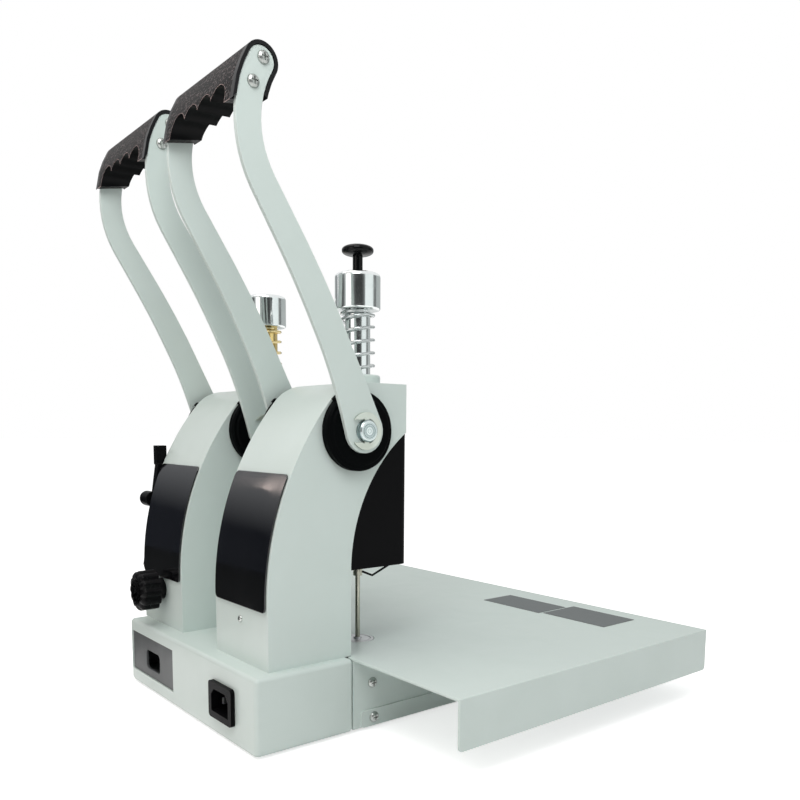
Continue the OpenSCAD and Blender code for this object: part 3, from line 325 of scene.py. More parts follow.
# Green solder mask with paler copper tracks showing through
board_green, tree, shader = start_finish("solder mask", Roughness=0.32)
place = add_node(tree, "ShaderNodeTexCoord")
tracks = add_node(tree, "ShaderNodeTexBrick", {"Vector": place.outputs["Object"], "Scale": 60.0,
                                               "Color1": (0.012, 0.13, 0.055, 1.0),
                                               "Color2": (0.016, 0.16, 0.07, 1.0),
                                               "Mortar": (0.05, 0.28, 0.12, 1.0),
                                               "Mortar Size": 0.03})
feed(tree, shader, Base_Color=tracks.outputs["Color"])
leave_as_packed("control_board", board_green)

# ---------------------------------------------------------------- chip drawer
# A drawer bent from grey painted sheet, which catches the paper chips. Its front has a finger
# opening and sits flush in the rear of the base box.

drawer_grey = coated_finish("drawer paint", coat=(0.075, 0.082, 0.085),
                            soiled=(0.05, 0.054, 0.056), edge=(0.15, 0.16, 0.165), rough=0.40,
                            peel=(900.0, 0.2, 0.0001))
dressed("chip_drawer", drawer_grey, edge_r=0.0004)

# ---------------------------------------------------------------- table
# The table is one sheet with folded lips on three sides, screwed onto a welded frame with side
# walls and a turned-up tray. The screws are plated, with pan heads and cross recesses.

dressed("table_frame", mint_powder, edge_r=0.0004)
dressed("table_plate", mint_powder, edge_r=0.0006)

bright_zinc = metal_finish("bright zinc", bright=(0.52, 0.54, 0.52), dull=(0.26, 0.28, 0.27),
                           rough=0.2, lines=along_x, bite=0.25)
dressed("machine_screws", bright_zinc, edge_r=0.00012, steps=2, break_over=40)

plain_steel = metal_finish("plain steel", bright=(0.60, 0.61, 0.62), dull=(0.42, 0.43, 0.44),
                           rough=0.28, lines=around_z, bite=0.35)
dressed("rivet_die", plain_steel, edge_r=0.0002)
leave_as_packed("die_heater", plain_steel)

pale_plastic = coated_finish("pale plastic", coat=(0.70, 0.70, 0.64), soiled=(0.55, 0.54, 0.48),
                             edge=(0.76, 0.76, 0.71), rough=0.38, peel=(1400.0, 0.2, 0.0001))
dressed("drill_pad", pale_plastic, edge_r=0.0005)

# Two bare dark plates lie on the table beside the rivet head. Each has its left and right edge,
# and how far its front and rear edge lie ahead of the base's rear.
plate_dark = coated_finish("plate film", coat=(0.125, 0.14, 0.143), soiled=(0.165, 0.18, 0.182),
                           edge=(0.13, 0.14, 0.14), rough=0.42, peel=(1800.0, 0.1, 0.00005),
                           sheen=0.3)
table_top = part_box("table_plate")[1].z
base_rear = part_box("base_housing")[1].y
film_t = 0.0003


def take_new(name):
    """Names the primitive just added and puts its place into its mesh."""
    piece = bpy.context.object
    piece.name = name
    bpy.ops.object.transform_apply()
    return piece


for label, left, right, front, rear in (("near", -0.086, -0.023, 0.302, 0.268),
                                        ("left", -0.148, -0.088, 0.310, 0.271)):
    bpy.ops.object.select_all(action="DESELECT")
    bpy.ops.mesh.primitive_cube_add(size=1, location=((left + right) / 2,
                                                      base_rear - (front + rear) / 2,
                                                      table_top + film_t / 2),
                                    scale=(right - left, front - rear, film_t))
    film = take_new("table_film_" + label)
    apply_modifier(film, "BEVEL", width=0.0001, segments=2)
    smooth(film)
    film.data.materials.append(plate_dark)
    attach(film, "base")

# ---------------------------------------------------------------- power switch
# A rocker switch snapped into the table's front fold: a moulded rim and a rocker.

dressed("switch_frame", moulded_black, edge_r=0.0003)
dressed("power_rocker", moulded_black, edge_r=0.0004)

# ---------------------------------------------------------------- heads
# Each head is a welded steel frame inside an arched cover of 1.5 mm sheet, powder coated. A gloss
# black panel closes the rear, a moulded black cover the nose, and black discs carry the pivot.

for head in ("rivet", "drill"):
    leave_as_packed(head + "_frame", plain_steel)
    dressed(head + "_shell", mint_powder, edge_r=0.0005)

gloss_black = coated_finish("gloss black", coat=(0.002, 0.0023, 0.003),
                            soiled=(0.003, 0.0033, 0.004), edge=(0.03, 0.031, 0.034), rough=0.05,
                            peel=(160.0, 0.05, 0.0002), sheen=0.9)
disc_black = coated_finish("disc black", coat=(0.0015, 0.002, 0.0022),
                           soiled=(0.003, 0.0038, 0.004), edge=(0.012, 0.014, 0.015), rough=0.40,
                           peel=(2600.0, 0.15, 0.00004), sheen=0.02)
for head in ("rivet", "drill"):
    dressed(head + "_rear_panel", gloss_black, edge_r=0.0005)
    dressed(head + "_nose_cover", moulded_black, edge_r=0.0008)
    dressed(head + "_bearing_discs", disc_black, edge_r=0.0006)
    dressed(head + "_collar", mint_powder, edge_r=0.0006)

# ---------------------------------------------------------------- quills
# The rivet quill and both caps are turned and chromed, the drill quill is brass. Each cap presses
# on a return spring of round wire with closed ends, which stands on the guide block.

chrome = metal_finish("chrome", bright=(0.82, 0.85, 0.85), dull=(0.72, 0.76, 0.76), rough=0.09,
                      lines=around_z, bite=0.10)
dressed("rivet_quill", chrome, edge_r=0.0003)
dressed("drill_quill", plated_brass, edge_r=0.0003)
for head in ("rivet", "drill"):
    dressed(head + "_cap", chrome, edge_r=0.0005)

spring_steel = metal_finish("spring wire", bright=(0.54, 0.57, 0.57), dull=(0.38, 0.41, 0.41),
                            rough=0.18, lines=around_z, bite=0.2)
spring_brassy = metal_finish("passivated spring wire", bright=(0.74, 0.62, 0.34),
                             dull=(0.56, 0.46, 0.24), rough=0.2, lines=around_z, bite=0.2)
wire_r = 0.0011
closed_pitch = 0.0023
open_turns = 6.5
steps_a_turn = 32
for head, wire_finish in (("rivet", spring_steel), ("drill", spring_brassy)):
    low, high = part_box(head + "_spring")
    axis_x, axis_y = (low.x + high.x) / 2, (low.y + high.y) / 2
    free = high.z - low.z
    coil_r = (high.x - low.x) / 2 - wire_r
    open_rise = free - 2 * wire_r - 2 * closed_pitch
    parts = []
    turned = 0.0
    height = low.z + wire_r
    for turns, rise in ((1.0, closed_pitch), (open_turns, open_rise), (1.0, closed_pitch)):
        bpy.ops.object.select_all(action="DESELECT")
        bpy.ops.mesh.primitive_circle_add(vertices=12, radius=wire_r, fill_type="NOTHING",
                                          location=(coil_r, 0, 0), rotation=(math.pi / 2, 0, 0))
        part = take_new(head + "_spring_wire")
        steps = int(steps_a_turn * turns)
        apply_modifier(part, "SCREW", angle=2 * math.pi * turns, screw_offset=rise,
                       steps=steps, render_steps=steps, axis="Z")
        part.rotation_euler.z = 2 * math.pi * turned
        part.location = (axis_x, axis_y, height)
        only(part)
        bpy.ops.object.transform_apply()
        parts.append(part)
        turned += turns
        height += rise
    bpy.ops.object.select_all(action="DESELECT")
    for part in parts:
        part.select_set(True)
    coil = parts[0]
    bpy.context.view_layer.objects.active = coil
    bpy.ops.object.join()
    coil.name = head + "_return_spring"
    bpy.ops.object.mode_set(mode="EDIT")
    bpy.ops.mesh.select_all(action="SELECT")
    bpy.ops.mesh.remove_doubles(threshold=0.00005)
    bpy.ops.mesh.select_all(action="DESELECT")
    bpy.ops.mesh.select_mode(type="EDGE")
    bpy.ops.mesh.select_non_manifold(extend=False)
    bpy.ops.mesh.edge_face_add()
    bpy.ops.mesh.select_all(action="SELECT")
    bpy.ops.mesh.normals_make_consistent(inside=False)
    bpy.ops.object.mode_set(mode="OBJECT")
    smooth(coil, 60, keep_flats=False)
    stand_for(coil, head + "_spring", wire_finish)
    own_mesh(coil)

# ---------------------------------------------------------------- guide pin
# A thin steel pin runs through the rivet quill into the die and centres the stack. It is lifted by
# a mushroom button of gloss black plastic.


def tint_faces(piece, finish, wanted):
    """Gives a second finish to the faces whose centre the test picks out."""
    piece.data.materials.append(finish)
    for face in piece.data.polygons:
        if wanted(face.center):
            face.material_index = len(piece.data.materials) - 1


button_black = coated_finish("button black", coat=(0.003, 0.003, 0.0035),
                             soiled=(0.005, 0.005, 0.0055), edge=(0.02, 0.02, 0.021), rough=0.12,
                             peel=(500.0, 0.06, 0.0001), sheen=0.15)
pin_steel = metal_finish("pin steel", bright=(0.44, 0.44, 0.37), dull=(0.30, 0.30, 0.25),
                         rough=0.24, lines=around_z, bite=0.25)
dressed("rivet_punch", pin_steel, edge_r=0.0002)
pin = dressed("guide_pin", pin_steel, edge_r=0.0002)
low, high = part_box("guide_pin")
pin_x, pin_y = (low.x + high.x) / 2, (low.y + high.y) / 2


def off_axis(spot):
    """How far a place lies from the pin's axis."""
    return math.hypot(spot.x - pin_x, spot.y - pin_y)


bare_r = 0.0025
tint_faces(pin, button_black, lambda centre: off_axis(centre) > bare_r)


def pick(piece, kind, wanted):
    """In edit mode, selects only the faces or vertices that the test picks out."""
    bpy.ops.object.mode_set(mode="EDIT")
    bpy.ops.mesh.select_mode(type=kind)
    bpy.ops.mesh.select_all(action="DESELECT")
    bpy.ops.object.mode_set(mode="OBJECT")
    for part in piece.data.polygons if kind == "FACE" else piece.data.vertices:
        part.select = wanted(part)
    bpy.ops.object.mode_set(mode="EDIT")


# The button is a flat lens, fuller than an ellipsoid, with a short neck pressed onto the pin
low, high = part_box("pin_button")
button_r = (high.x - low.x) / 2
lens_share = 0.52
fullness = 0.75
half_h = lens_share * (high.z - low.z)
middle_z = high.z - half_h
neck_r = 0.0046
neck_h = 0.0008
neck_taper = 0.9
bpy.ops.object.select_all(action="DESELECT")
bpy.ops.mesh.primitive_uv_sphere_add(segments=64, ring_count=32, radius=1,
                                     location=(pin_x, pin_y, middle_z),
                                     scale=(button_r, button_r, half_h))
button = take_new("mushroom_button")
for v in button.data.vertices:
    rise = (v.co.z - middle_z) / half_h
    v.co.z = middle_z + math.copysign(abs(rise) ** fullness, rise) * half_h
pick(button, "FACE", lambda f: f.center.z < middle_z and off_axis(f.center) < neck_r)
bpy.ops.mesh.extrude_region_move(TRANSFORM_OT_translate={"value": (0, 0, -neck_h)})
bpy.ops.transform.resize(value=(neck_taper, neck_taper, 0),
                         center_override=(pin_x, pin_y, low.z))
bpy.ops.object.mode_set(mode="OBJECT")
smooth(button, 60, keep_flats=False)
stand_for(button, "pin_button", button_black)

# A bent black wire finger under the riveting nose holds the sleeve of rivets. Its bends are given
# from the pin's axis and the nose's lower edge.
finger_wire_r = 0.0008
nose_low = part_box("rivet_nose_cover")[0].z
path = bpy.data.curves.new("wire_path", "CURVE")
path.dimensions = "3D"
path.bevel_depth = finger_wire_r
path.bevel_resolution = 4
path.use_fill_caps = True
run = path.splines.new("BEZIER")
bends = ((-0.0262, -0.0115, 0.0010), (-0.0120, -0.0039, -0.0098),
         (-0.0100, 0.0032, -0.0066))
run.bezier_points.add(len(bends) - 1)
for point, (dx, dy, dz) in zip(run.bezier_points, bends):
    point.co = (pin_x + dx, pin_y + dy, nose_low + dz)
    point.handle_left_type = point.handle_right_type = "VECTOR"
finger = bpy.data.objects.new("wire_finger", path)
bpy.context.scene.collection.objects.link(finger)
only(finger)
bpy.ops.object.convert(target="MESH")
finger = bpy.context.object
smooth(finger, 60, keep_flats=False)
finger.data.materials.append(button_black)
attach(finger, "base")

# ---------------------------------------------------------------- levers
# Each lever is a pair of bent bars of flat steel, powder coated, riveted to a turned shaft with
# a snap ring at each end. A pinion on the shaft drives the rack that is cut in the quill.

# Turned face: rings round an axis along X, as the lathe tool leaves them
turned_face, enter, leave = start_group("turned face", {"Axis": (0.0, 0.0, 0.0), "Rings": 1500.0},
                                        {"Height": "NodeSocketFloat"})
where = add_node(turned_face, "ShaderNodeTexCoord")
off = add_node(turned_face, "ShaderNodeVectorMath", {0: where.outputs["Object"], 1: enter["Axis"]},
               operation="SUBTRACT")
ways = add_node(turned_face, "ShaderNodeSeparateXYZ", {"Vector": off.outputs[0]})
in_face = add_node(turned_face, "ShaderNodeCombineXYZ", {"Y": ways.outputs["Y"],
                                                         "Z": ways.outputs["Z"]})
out = add_node(turned_face, "ShaderNodeVectorMath", {0: in_face.outputs[0]}, operation="LENGTH")
count = add_node(turned_face, "ShaderNodeMath", {0: out.outputs["Value"], 1: enter["Rings"]},
                 operation="MULTIPLY")
ring = add_node(turned_face, "ShaderNodeTexNoise", {"W": count.outputs[0], "Scale": 1.0,
                                                    "Detail": 3.0}, noise_dimensions="1D")
clear = add_node(turned_face, "ShaderNodeMapRange", {"Value": ring.outputs["Fac"],
                                                     "From Min": 0.36, "From Max": 0.64})
turned_face.links.new(clear.outputs[0], leave["Height"])

turned_zinc, tree, shader = start_finish("turned zinc", Metallic=1.0)
pivot_y, pivot_z = [(a + b) / 2 for a, b in zip(*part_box("rivet_shaft"))][1:]
rings = use_group(tree, turned_face, Axis=(0.0, pivot_y, pivot_z), Rings=800.0)
zinc = blend_colours(tree, rings["Height"], (0.24, 0.30, 0.31), (0.82, 0.90, 0.89))
cut = add_node(tree, "ShaderNodeBump", {"Strength": 0.6, "Distance": 0.0001,
                                        "Height": rings["Height"]})
feed(tree, shader, Base_Color=zinc, Normal=cut.outputs[0],
     Roughness=spread(tree, rings["Height"], 0.16, 0.34))
yellow_zinc = metal_finish("yellow zinc", bright=(0.62, 0.66, 0.60), dull=(0.50, 0.53, 0.46),
                           rough=0.3, lines=along_x, bite=0.2)
for head in ("rivet", "drill"):
    dressed(head + "_arms", mint_powder, edge_r=0.0009)
    dressed(head + "_shaft", turned_zinc, edge_r=0.0003)
    leave_as_packed(head + "_pinion", plain_steel)
    dressed(head + "_clips", yellow_zinc, edge_r=0.00015, steps=2)

# ---------------------------------------------------------------- grips
# Grips moulded over a core in black grained vinyl, with four finger grooves and a smooth rim round
# each arm end. Two plated cross-recess screws hold each arm in the grip.

grain, enter, leave = start_group("leather grain", {"Scale": 800.0},
                                  {"Height": "NodeSocketFloat", "Crease": "NodeSocketFloat"})
where = add_node(grain, "ShaderNodeTexCoord")
wander = add_node(grain, "ShaderNodeTexNoise", {"Vector": where.outputs["Object"], "Scale": 500.0})
bent = add_node(grain, "ShaderNodeMix", {0: 0.0012}, data_type="VECTOR")
grain.links.new(where.outputs["Object"], bent.inputs[4])
grain.links.new(wander.outputs["Color"], bent.inputs[5])
pebbles = add_node(grain, "ShaderNodeTexVoronoi", {"Vector": bent.outputs[1],
                                                   "Scale": enter["Scale"]},
                   feature="SMOOTH_F1")
crease = add_node(grain, "ShaderNodeMapRange", {"Value": pebbles.outputs["Distance"],
                                                "From Min": 0.10, "From Max": 0.44})
dome = add_node(grain, "ShaderNodeMath", {0: 1.0, 1: crease.outputs[0]}, operation="SUBTRACT")
grain.links.new(dome.outputs[0], leave["Height"])
grain.links.new(crease.outputs[0], leave["Crease"])

# The grain covers the front, the rear and the crown; the underside and the grooves are smooth. The
# raised grains carry a painted sheen, and a painted pale pink highlight runs along the lower rear
# edge between the fingers
grip_vinyl, tree, shader = start_finish("grained vinyl", Specular_IOR_Level=0.1)
pebble_grain_and_sheen = use_group(tree, grain, Scale=640.0)
place = add_node(tree, "ShaderNodeTexCoord")
grip_lean = math.radians(30)
grip_face = (0.0, math.cos(grip_lean), math.sin(grip_lean))
arm_way = (0.0, -math.sin(grip_lean), math.cos(grip_lean))
behind = add_node(tree, "ShaderNodeVectorMath", {0: place.outputs["Normal"], 1: grip_face},
                  operation="DOT_PRODUCT")
either = add_node(tree, "ShaderNodeMath", {0: behind.outputs["Value"]}, operation="ABSOLUTE")
above = add_node(tree, "ShaderNodeVectorMath", {0: place.outputs["Normal"], 1: arm_way},
                 operation="DOT_PRODUCT")
on_face = add_node(tree, "ShaderNodeMapRange", {"Value": either.outputs[0], "From Min": 0.55,
                                                "From Max": 0.75})
on_top = add_node(tree, "ShaderNodeMapRange", {"Value": above.outputs["Value"], "From Min": 0.1,
                                               "From Max": 0.3})
grained = add_node(tree, "ShaderNodeMath", {0: on_face.outputs[0], 1: on_top.outputs[0]},
                   operation="MAXIMUM")
# Painted sheen: the raised grains are a pale brown-grey over the near-black vinyl
vinyl = blend_colours(tree, pebble_grain_and_sheen["Crease"], (0.115, 0.095, 0.095), (0.003, 0.0025, 0.0025))
vinyl = blend_colours(tree, grained.outputs[0], (0.004, 0.004, 0.0045), vinyl)
# Painted highlight: a pale pink line along the lower rear edges of the finger grooves
edge_mask = use_group(tree, edge_wear_and_highlight, Radius=0.0009, Gain=5.0)
below = add_node(tree, "ShaderNodeMapRange", {"Value": above.outputs["Value"], "From Min": 0.15,
                                              "From Max": -0.1})
rear_edge = add_node(tree, "ShaderNodeMapRange", {"Value": behind.outputs["Value"],
                                                  "From Min": 0.35, "From Max": 0.55})
low_edge = add_node(tree, "ShaderNodeMath", {0: rear_edge.outputs[0], 1: below.outputs[0]},
                    operation="MULTIPLY")
scallop_highlight = add_node(tree, "ShaderNodeMath", {0: edge_mask["Mask"], 1: low_edge.outputs[0]},
                   operation="MULTIPLY")
vinyl = blend_colours(tree, scallop_highlight.outputs[0], vinyl, (0.62, 0.46, 0.44))
raised = add_node(tree, "ShaderNodeMath", {0: pebble_grain_and_sheen["Height"], 1: grained.outputs[0]},
                  operation="MULTIPLY")
press = add_node(tree, "ShaderNodeBump", {"Strength": 1.0, "Distance": 0.0005,
                                          "Height": raised.outputs[0]})
feed(tree, shader, Base_Color=vinyl, Normal=press.outputs[0],
     Roughness=spread(tree, grained.outputs[0], 0.30, 0.5))

rim_black = coated_finish("grip rim", coat=(0.003, 0.0033, 0.004), soiled=(0.006, 0.0065, 0.008),
                          edge=(0.03, 0.032, 0.036), rough=0.30, peel=(1500.0, 0.15, 0.00006),
                          sheen=0.2)
grip_half = 0.0101
arm_end_behind_pivot = 0.070674
bend_r = 0.062
tail_sweep = math.radians(20.5)
rear_slant = math.radians(-3.6)
front_slant = math.radians(3.5)
rim_wall = 0.0020
rim_proud = 0.0036
grooves = 4
groove_r = 0.0096
groove_pitch = 0.0175
groove_rise = math.radians(3)
groove_above_tail = 0.0004
point_gap = 0.001
cutter_l = 0.05
cutter_h = 0.02
rim_tint_depth = 0.0008
# Less than this counts as none, as a length and as an angle round the bend
hair = 0.0001
hair_turn = math.radians(0.8)


def cut_away(piece, cutter):
    """Cuts the cutter's shape out of the piece, then takes the cutter away."""
    apply_modifier(piece, "BOOLEAN", object=cutter, operation="DIFFERENCE", solver="EXACT")
    bpy.data.objects.remove(cutter)


for head in ("rivet", "drill"):
    low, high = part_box(head + "_grip")
    mid_x = (low.x + high.x) / 2
    core_half = (high.x - low.x) / 2 - rim_proud
    end_y = pivot_y + arm_end_behind_pivot
    end_z = high.z - grip_half
    bend_y = end_y - bend_r * math.cos(grip_lean)
    bend_z = end_z - bend_r * math.sin(grip_lean)
    centre = Vector((mid_x - core_half, end_y, end_z))
    bend = (centre.x, bend_y, bend_z)
    bpy.ops.object.select_all(action="DESELECT")
    bpy.ops.mesh.primitive_circle_add(vertices=48, radius=grip_half, location=centre,
                                      rotation=(0, math.pi / 2, 0))
    grip = take_new(head + "_grip_moulding")

    # The tail side of the round end is opened, both edges are swept down the arm's bend, and the
    # tail's two corners are turned round the bend, so that it ends in a slanted cut
    pick(grip, "VERT", lambda v: (v.co - centre).dot(Vector(arm_way)) < -hair)
    bpy.ops.mesh.delete(type="VERT")
    pick(grip, "VERT", lambda v: (v.co - centre).dot(Vector(arm_way)) < hair)
    bpy.ops.mesh.spin(steps=3, angle=tail_sweep, center=bend, axis=(1, 0, 0))
    for rear, slant in ((True, rear_slant), (False, front_slant)):
        pick(grip, "VERT", lambda v: (v.co.y > bend_y + bend_r) == rear and
             abs(math.atan2(v.co.z - bend_z, v.co.y - bend_y) - grip_lean + tail_sweep)
             < hair_turn)
        bpy.ops.transform.rotate(value=-slant, orient_axis="X", center_override=bend)
    bpy.ops.mesh.select_all(action="SELECT")
    bpy.ops.mesh.remove_doubles(threshold=0.00001)
    bpy.ops.mesh.edge_face_add()
    bpy.ops.mesh.select_all(action="SELECT")
    bpy.ops.mesh.extrude_region_move(TRANSFORM_OT_translate={"value": (2 * core_half, 0, 0)})
    bpy.ops.mesh.select_all(action="SELECT")
    bpy.ops.mesh.normals_make_consistent(inside=False)

    # A rim stands round the outline of each end, open at the tail, where the arm comes in
    for side in (-1, 1):
        def on_end(face):
            return face.normal.x * side > 0.9 and (face.center.x - mid_x) * side > core_half - hair

        pick(grip, "FACE", on_end)
        bpy.ops.mesh.inset(thickness=rim_wall)
        bpy.ops.object.mode_set(mode="OBJECT")
        ends = [face for face in grip.data.polygons if on_end(face)]
        inner = max(ends, key=lambda face: face.area).index
        tail = min(ends, key=lambda face: face.center.z).index
        pick(grip, "FACE", lambda face: on_end(face) and face.index not in (inner, tail))
        bpy.ops.mesh.extrude_region_move(
            TRANSFORM_OT_translate={"value": (side * rim_proud, 0, 0)})
    bpy.ops.object.mode_set(mode="OBJECT")

    # The finger grooves are cut front to back, and what is left between them below is cut away
    groove_y, groove_z = bend_y + bend_r, low.z + groove_above_tail
    groove_span = (grooves - 1) * groove_pitch + 2 * groove_r
    for i in range(grooves):
        bpy.ops.object.select_all(action="DESELECT")
        bpy.ops.mesh.primitive_cylinder_add(
            vertices=64, radius=groove_r, depth=cutter_l,
            location=(mid_x + (i - (grooves - 1) / 2) * groove_pitch, groove_y, groove_z),
            rotation=(math.pi / 2 - groove_rise, 0, 0))
        cut_away(grip, bpy.context.object)
    bpy.ops.object.select_all(action="DESELECT")
    bpy.ops.mesh.primitive_cube_add(size=1, location=(mid_x, groove_y, groove_z - cutter_h / 2),
                                    rotation=(-groove_rise, 0, 0),
                                    scale=(groove_span, cutter_l, cutter_h))
    cut_away(grip, bpy.context.object)
    break_edges(grip, edge_r=0.0005)
    stand_for(grip, head + "_grip", grip_vinyl)
    tint_faces(grip, rim_black, lambda centre: abs(centre.x - mid_x) >
               core_half - rim_tint_depth)

    # The screws keep their heads; their points end inside the grip's solid ends
    screws = loose_copy(head + "_grip_screws")
    reach = groove_span / 2 + point_gap
    for v in screws.data.vertices:
        if abs(v.co.x - mid_x) < reach:
            v.co.x = mid_x + math.copysign(reach, v.co.x - mid_x)
    break_edges(screws, edge_r=0.00015, steps=2, break_over=40)
    stand_for(screws, head + "_grip_screws", bright_zinc)

# ---------------------------------------------------------------- drilling drive
# The motor stands in the drill head's column. A flat belt runs from its pulley to the one on the
# spindle, whose key slides with the quill. The hollow drill is clamped in the spindle's end.

for node in ("drill_spindle", "hollow_drill", "spindle_pulley", "motor_pulley"):
    leave_as_packed(node, plain_steel)
leave_as_packed("drive_belt", black_rubber)
dressed("drill_motor", varnished_grey, edge_r=0.0006)

# ---------------------------------------------------------------- right side and rear
# On the drill head's right side a moulded cover with an upright post and a push button; behind the
# head a star knob of black plastic with twelve lobes, which clamps the depth stop.

dressed("side_cover", moulded_black, edge_r=0.0006)
dressed("side_plunger", moulded_black, edge_r=0.0006)
knob_black = coated_finish("knob black", coat=(0.0025, 0.0025, 0.003),
                           soiled=(0.005, 0.005, 0.0055), edge=(0.02, 0.02, 0.021), rough=0.22,
                           peel=(1500.0, 0.12, 0.00005), sheen=0.1)
low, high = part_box("star_knob")
knob_x, knob_z = (low.x + high.x) / 2, (low.z + high.z) / 2
knob_r = (high.x - low.x) / 2
rim_y = high.y
lobes = 12
lobe_depth = 0.10

# The head goes rearward in these steps, each with its length and how far it is drawn in, then its
# face inward in these, each with its width and how far it comes out
head_steps = ((0.0008, 1.0), (0.0105, 1.0), (0.0012, 0.965), (0.0012, 0.91), (0.0008, 0.80))
face_steps = ((0.0018, -0.0012), (0.0034, 0.0004), (0.0008, 0.0011), (0.0016, 0.0004))
head_y = rim_y - sum(out for out, size in head_steps)
bpy.ops.object.select_all(action="DESELECT")
bpy.ops.mesh.primitive_circle_add(vertices=8 * lobes, radius=knob_r, fill_type="NGON",
                                  location=(knob_x, head_y, knob_z),
                                  rotation=(math.pi / 2, 0, 0))
knob = take_new("star_knob_moulding")
for v in knob.data.vertices:
    turn = math.atan2(v.co.z - knob_z, v.co.x - knob_x)
    depth = lobe_depth * (0.5 - 0.5 * math.cos(lobes * turn)) ** 2
    v.co.x = knob_x + (v.co.x - knob_x) * (1 - depth)
    v.co.z = knob_z + (v.co.z - knob_z) * (1 - depth)
bpy.ops.object.mode_set(mode="EDIT")
bpy.ops.mesh.select_all(action="SELECT")
for out, size in head_steps:
    bpy.ops.mesh.extrude_region_move(TRANSFORM_OT_translate={"value": (0, out, 0)})
    bpy.ops.transform.resize(value=(size, 1, size), center_override=(knob_x, rim_y, knob_z))
for inset, out in face_steps:
    bpy.ops.mesh.inset(thickness=inset)
    bpy.ops.transform.translate(value=(0, out, 0))
bpy.ops.mesh.select_all(action="SELECT")
bpy.ops.mesh.normals_make_consistent(inside=False)
bpy.ops.object.mode_set(mode="OBJECT")

# Its neck reaches a little into the head, and its stud into the neck
neck_front = low.y + 0.0054
neck_rear = head_y + 0.0005
joined = [knob]
for front, rear, radius, sides in ((neck_front, neck_rear, 0.008, 48),
                                   (low.y, low.y + 0.008, 0.0029, 32)):
    bpy.ops.object.select_all(action="DESELECT")
    bpy.ops.mesh.primitive_cylinder_add(vertices=sides, radius=radius, depth=rear - front,
                                        location=(knob_x, (front + rear) / 2, knob_z),
                                        rotation=(math.pi / 2, 0, 0))
    joined.append(take_new("star_knob_shank"))
for part in joined:
    part.select_set(True)
bpy.context.view_layer.objects.active = knob
bpy.ops.object.join()
break_edges(knob, edge_r=0.0003, steps=2, break_over=35)
stand_for(knob, "star_knob", knob_black)

# ---------------------------------------------------------------- studio
# A plain pale floor under an even white sky. Three soft lamps stand round the machine: one close
# on its left, a wide one above, and a weak warm one behind it.

bpy.ops.object.select_all(action="DESELECT")
bpy.ops.mesh.primitive_plane_add(size=30, location=(0, 0, -0.0006))
floor = take_new("studio_floor")
pale_floor, tree, shader = start_finish("pale floor", Base_Color=(0.84, 0.84, 0.84, 1),
                                        Roughness=0.9)
ray = add_node(tree, "ShaderNodeLightPath")
seen = add_node(tree, "ShaderNodeMath", {0: ray.outputs["Is Camera Ray"],
                                         1: ray.outputs["Is Glossy Ray"]}, operation="MAXIMUM")
glow = add_node(tree, "ShaderNodeEmission", {"Strength": 0.62})
dim = add_node(tree, "ShaderNodeEmission", {"Strength": 0.0})
choice = add_node(tree, "ShaderNodeMixShader", {0: seen.outputs[0], 1: dim.outputs[0],
                                                2: glow.outputs[0]})
both = add_node(tree, "ShaderNodeAddShader", {0: shader.outputs[0], 1: choice.outputs[0]})
feed(tree, tree.nodes["Material Output"], Surface=both.outputs[0])
floor.data.materials.append(pale_floor)

sky = bpy.data.worlds.new("white studio")
bpy.context.scene.world = sky
sky.use_nodes = True
tree = sky.node_tree
ray = add_node(tree, "ShaderNodeLightPath")
mirror = add_node(tree, "ShaderNodeMath", {0: ray.outputs["Is Glossy Ray"],
                                           1: ray.outputs["Is Transmission Ray"]},
                  operation="MAXIMUM")
seen = add_node(tree, "ShaderNodeMath", {0: ray.outputs["Is Camera Ray"], 1: mirror.outputs[0]},
                operation="MAXIMUM")
lighting = tree.nodes["Background"]
way = add_node(tree, "ShaderNodeTexCoord")
side = add_node(tree, "ShaderNodeSeparateXYZ", {"Vector": way.outputs["Generated"]})
rear_side = add_node(tree, "ShaderNodeMapRange", {"Value": side.outputs["Y"], "From Min": -0.1,
                                                  "From Max": 0.7})
sky_colour = blend_colours(tree, rear_side.outputs[0], (0.97, 1.0, 0.995), (0.84, 0.79, 0.765))
feed(tree, lighting, Color=sky_colour)
lighting.inputs["Strength"].default_value = 0.575
backdrop = add_node(tree, "ShaderNodeBackground", {"Color": (1, 1, 1, 1), "Strength": 1.0})
choice = add_node(tree, "ShaderNodeMixShader", {0: seen.outputs[0], 1: lighting.outputs[0],
                                                2: backdrop.outputs[0]})
feed(tree, tree.nodes["World Output"], Surface=choice.outputs[0])

# A ring of dark and pale cloths stands out of view, seen only in polished surfaces. It draws the
# bands on the chrome and keeps the black panels deep. Each stop is an angle from the camera's way.
cloth_ring, tree, shader = start_finish("ring of cloths", Base_Color=(0, 0, 0, 1), Roughness=1.0,
                                        Specular_IOR_Level=0.0, Emission_Strength=1.0)
place = add_node(tree, "ShaderNodeTexCoord")
way_round = add_node(tree, "ShaderNodeTexGradient", {"Vector": place.outputs["Object"]},
                     gradient_type="RADIAL")
cloths = add_node(tree, "ShaderNodeValToRGB", {"Fac": way_round.outputs["Fac"]})
stops = cloths.color_ramp.elements
stops.remove(stops[1])
camera_turn = 143
for angle, level in ((-178, 0.55), (-146, 0.55), (-140, 0.12), (-104, 0.10), (-98, 0.5),
                     (-92, 0.5), (-86, 0.07), (-70, 0.12), (-62, 0.5), (-55, 1.0), (-34, 1.05),
                     (-27, 0.5), (-16, 0.15), (-9, 0.05), (20, 0.05), (29, 0.12), (36, 0.35),
                     (41, 1.0), (80, 1.0), (86, 0.30), (100, 0.14), (108, 0.5), (176, 0.5)):
    stop = stops.new(((camera_turn + angle + 180) % 360) / 360)
    stop.color = (level * 0.95, level, level * 0.99, 1.0)
stops.remove(stops[0])
height = add_node(tree, "ShaderNodeSeparateXYZ", {"Vector": place.outputs["Object"]})
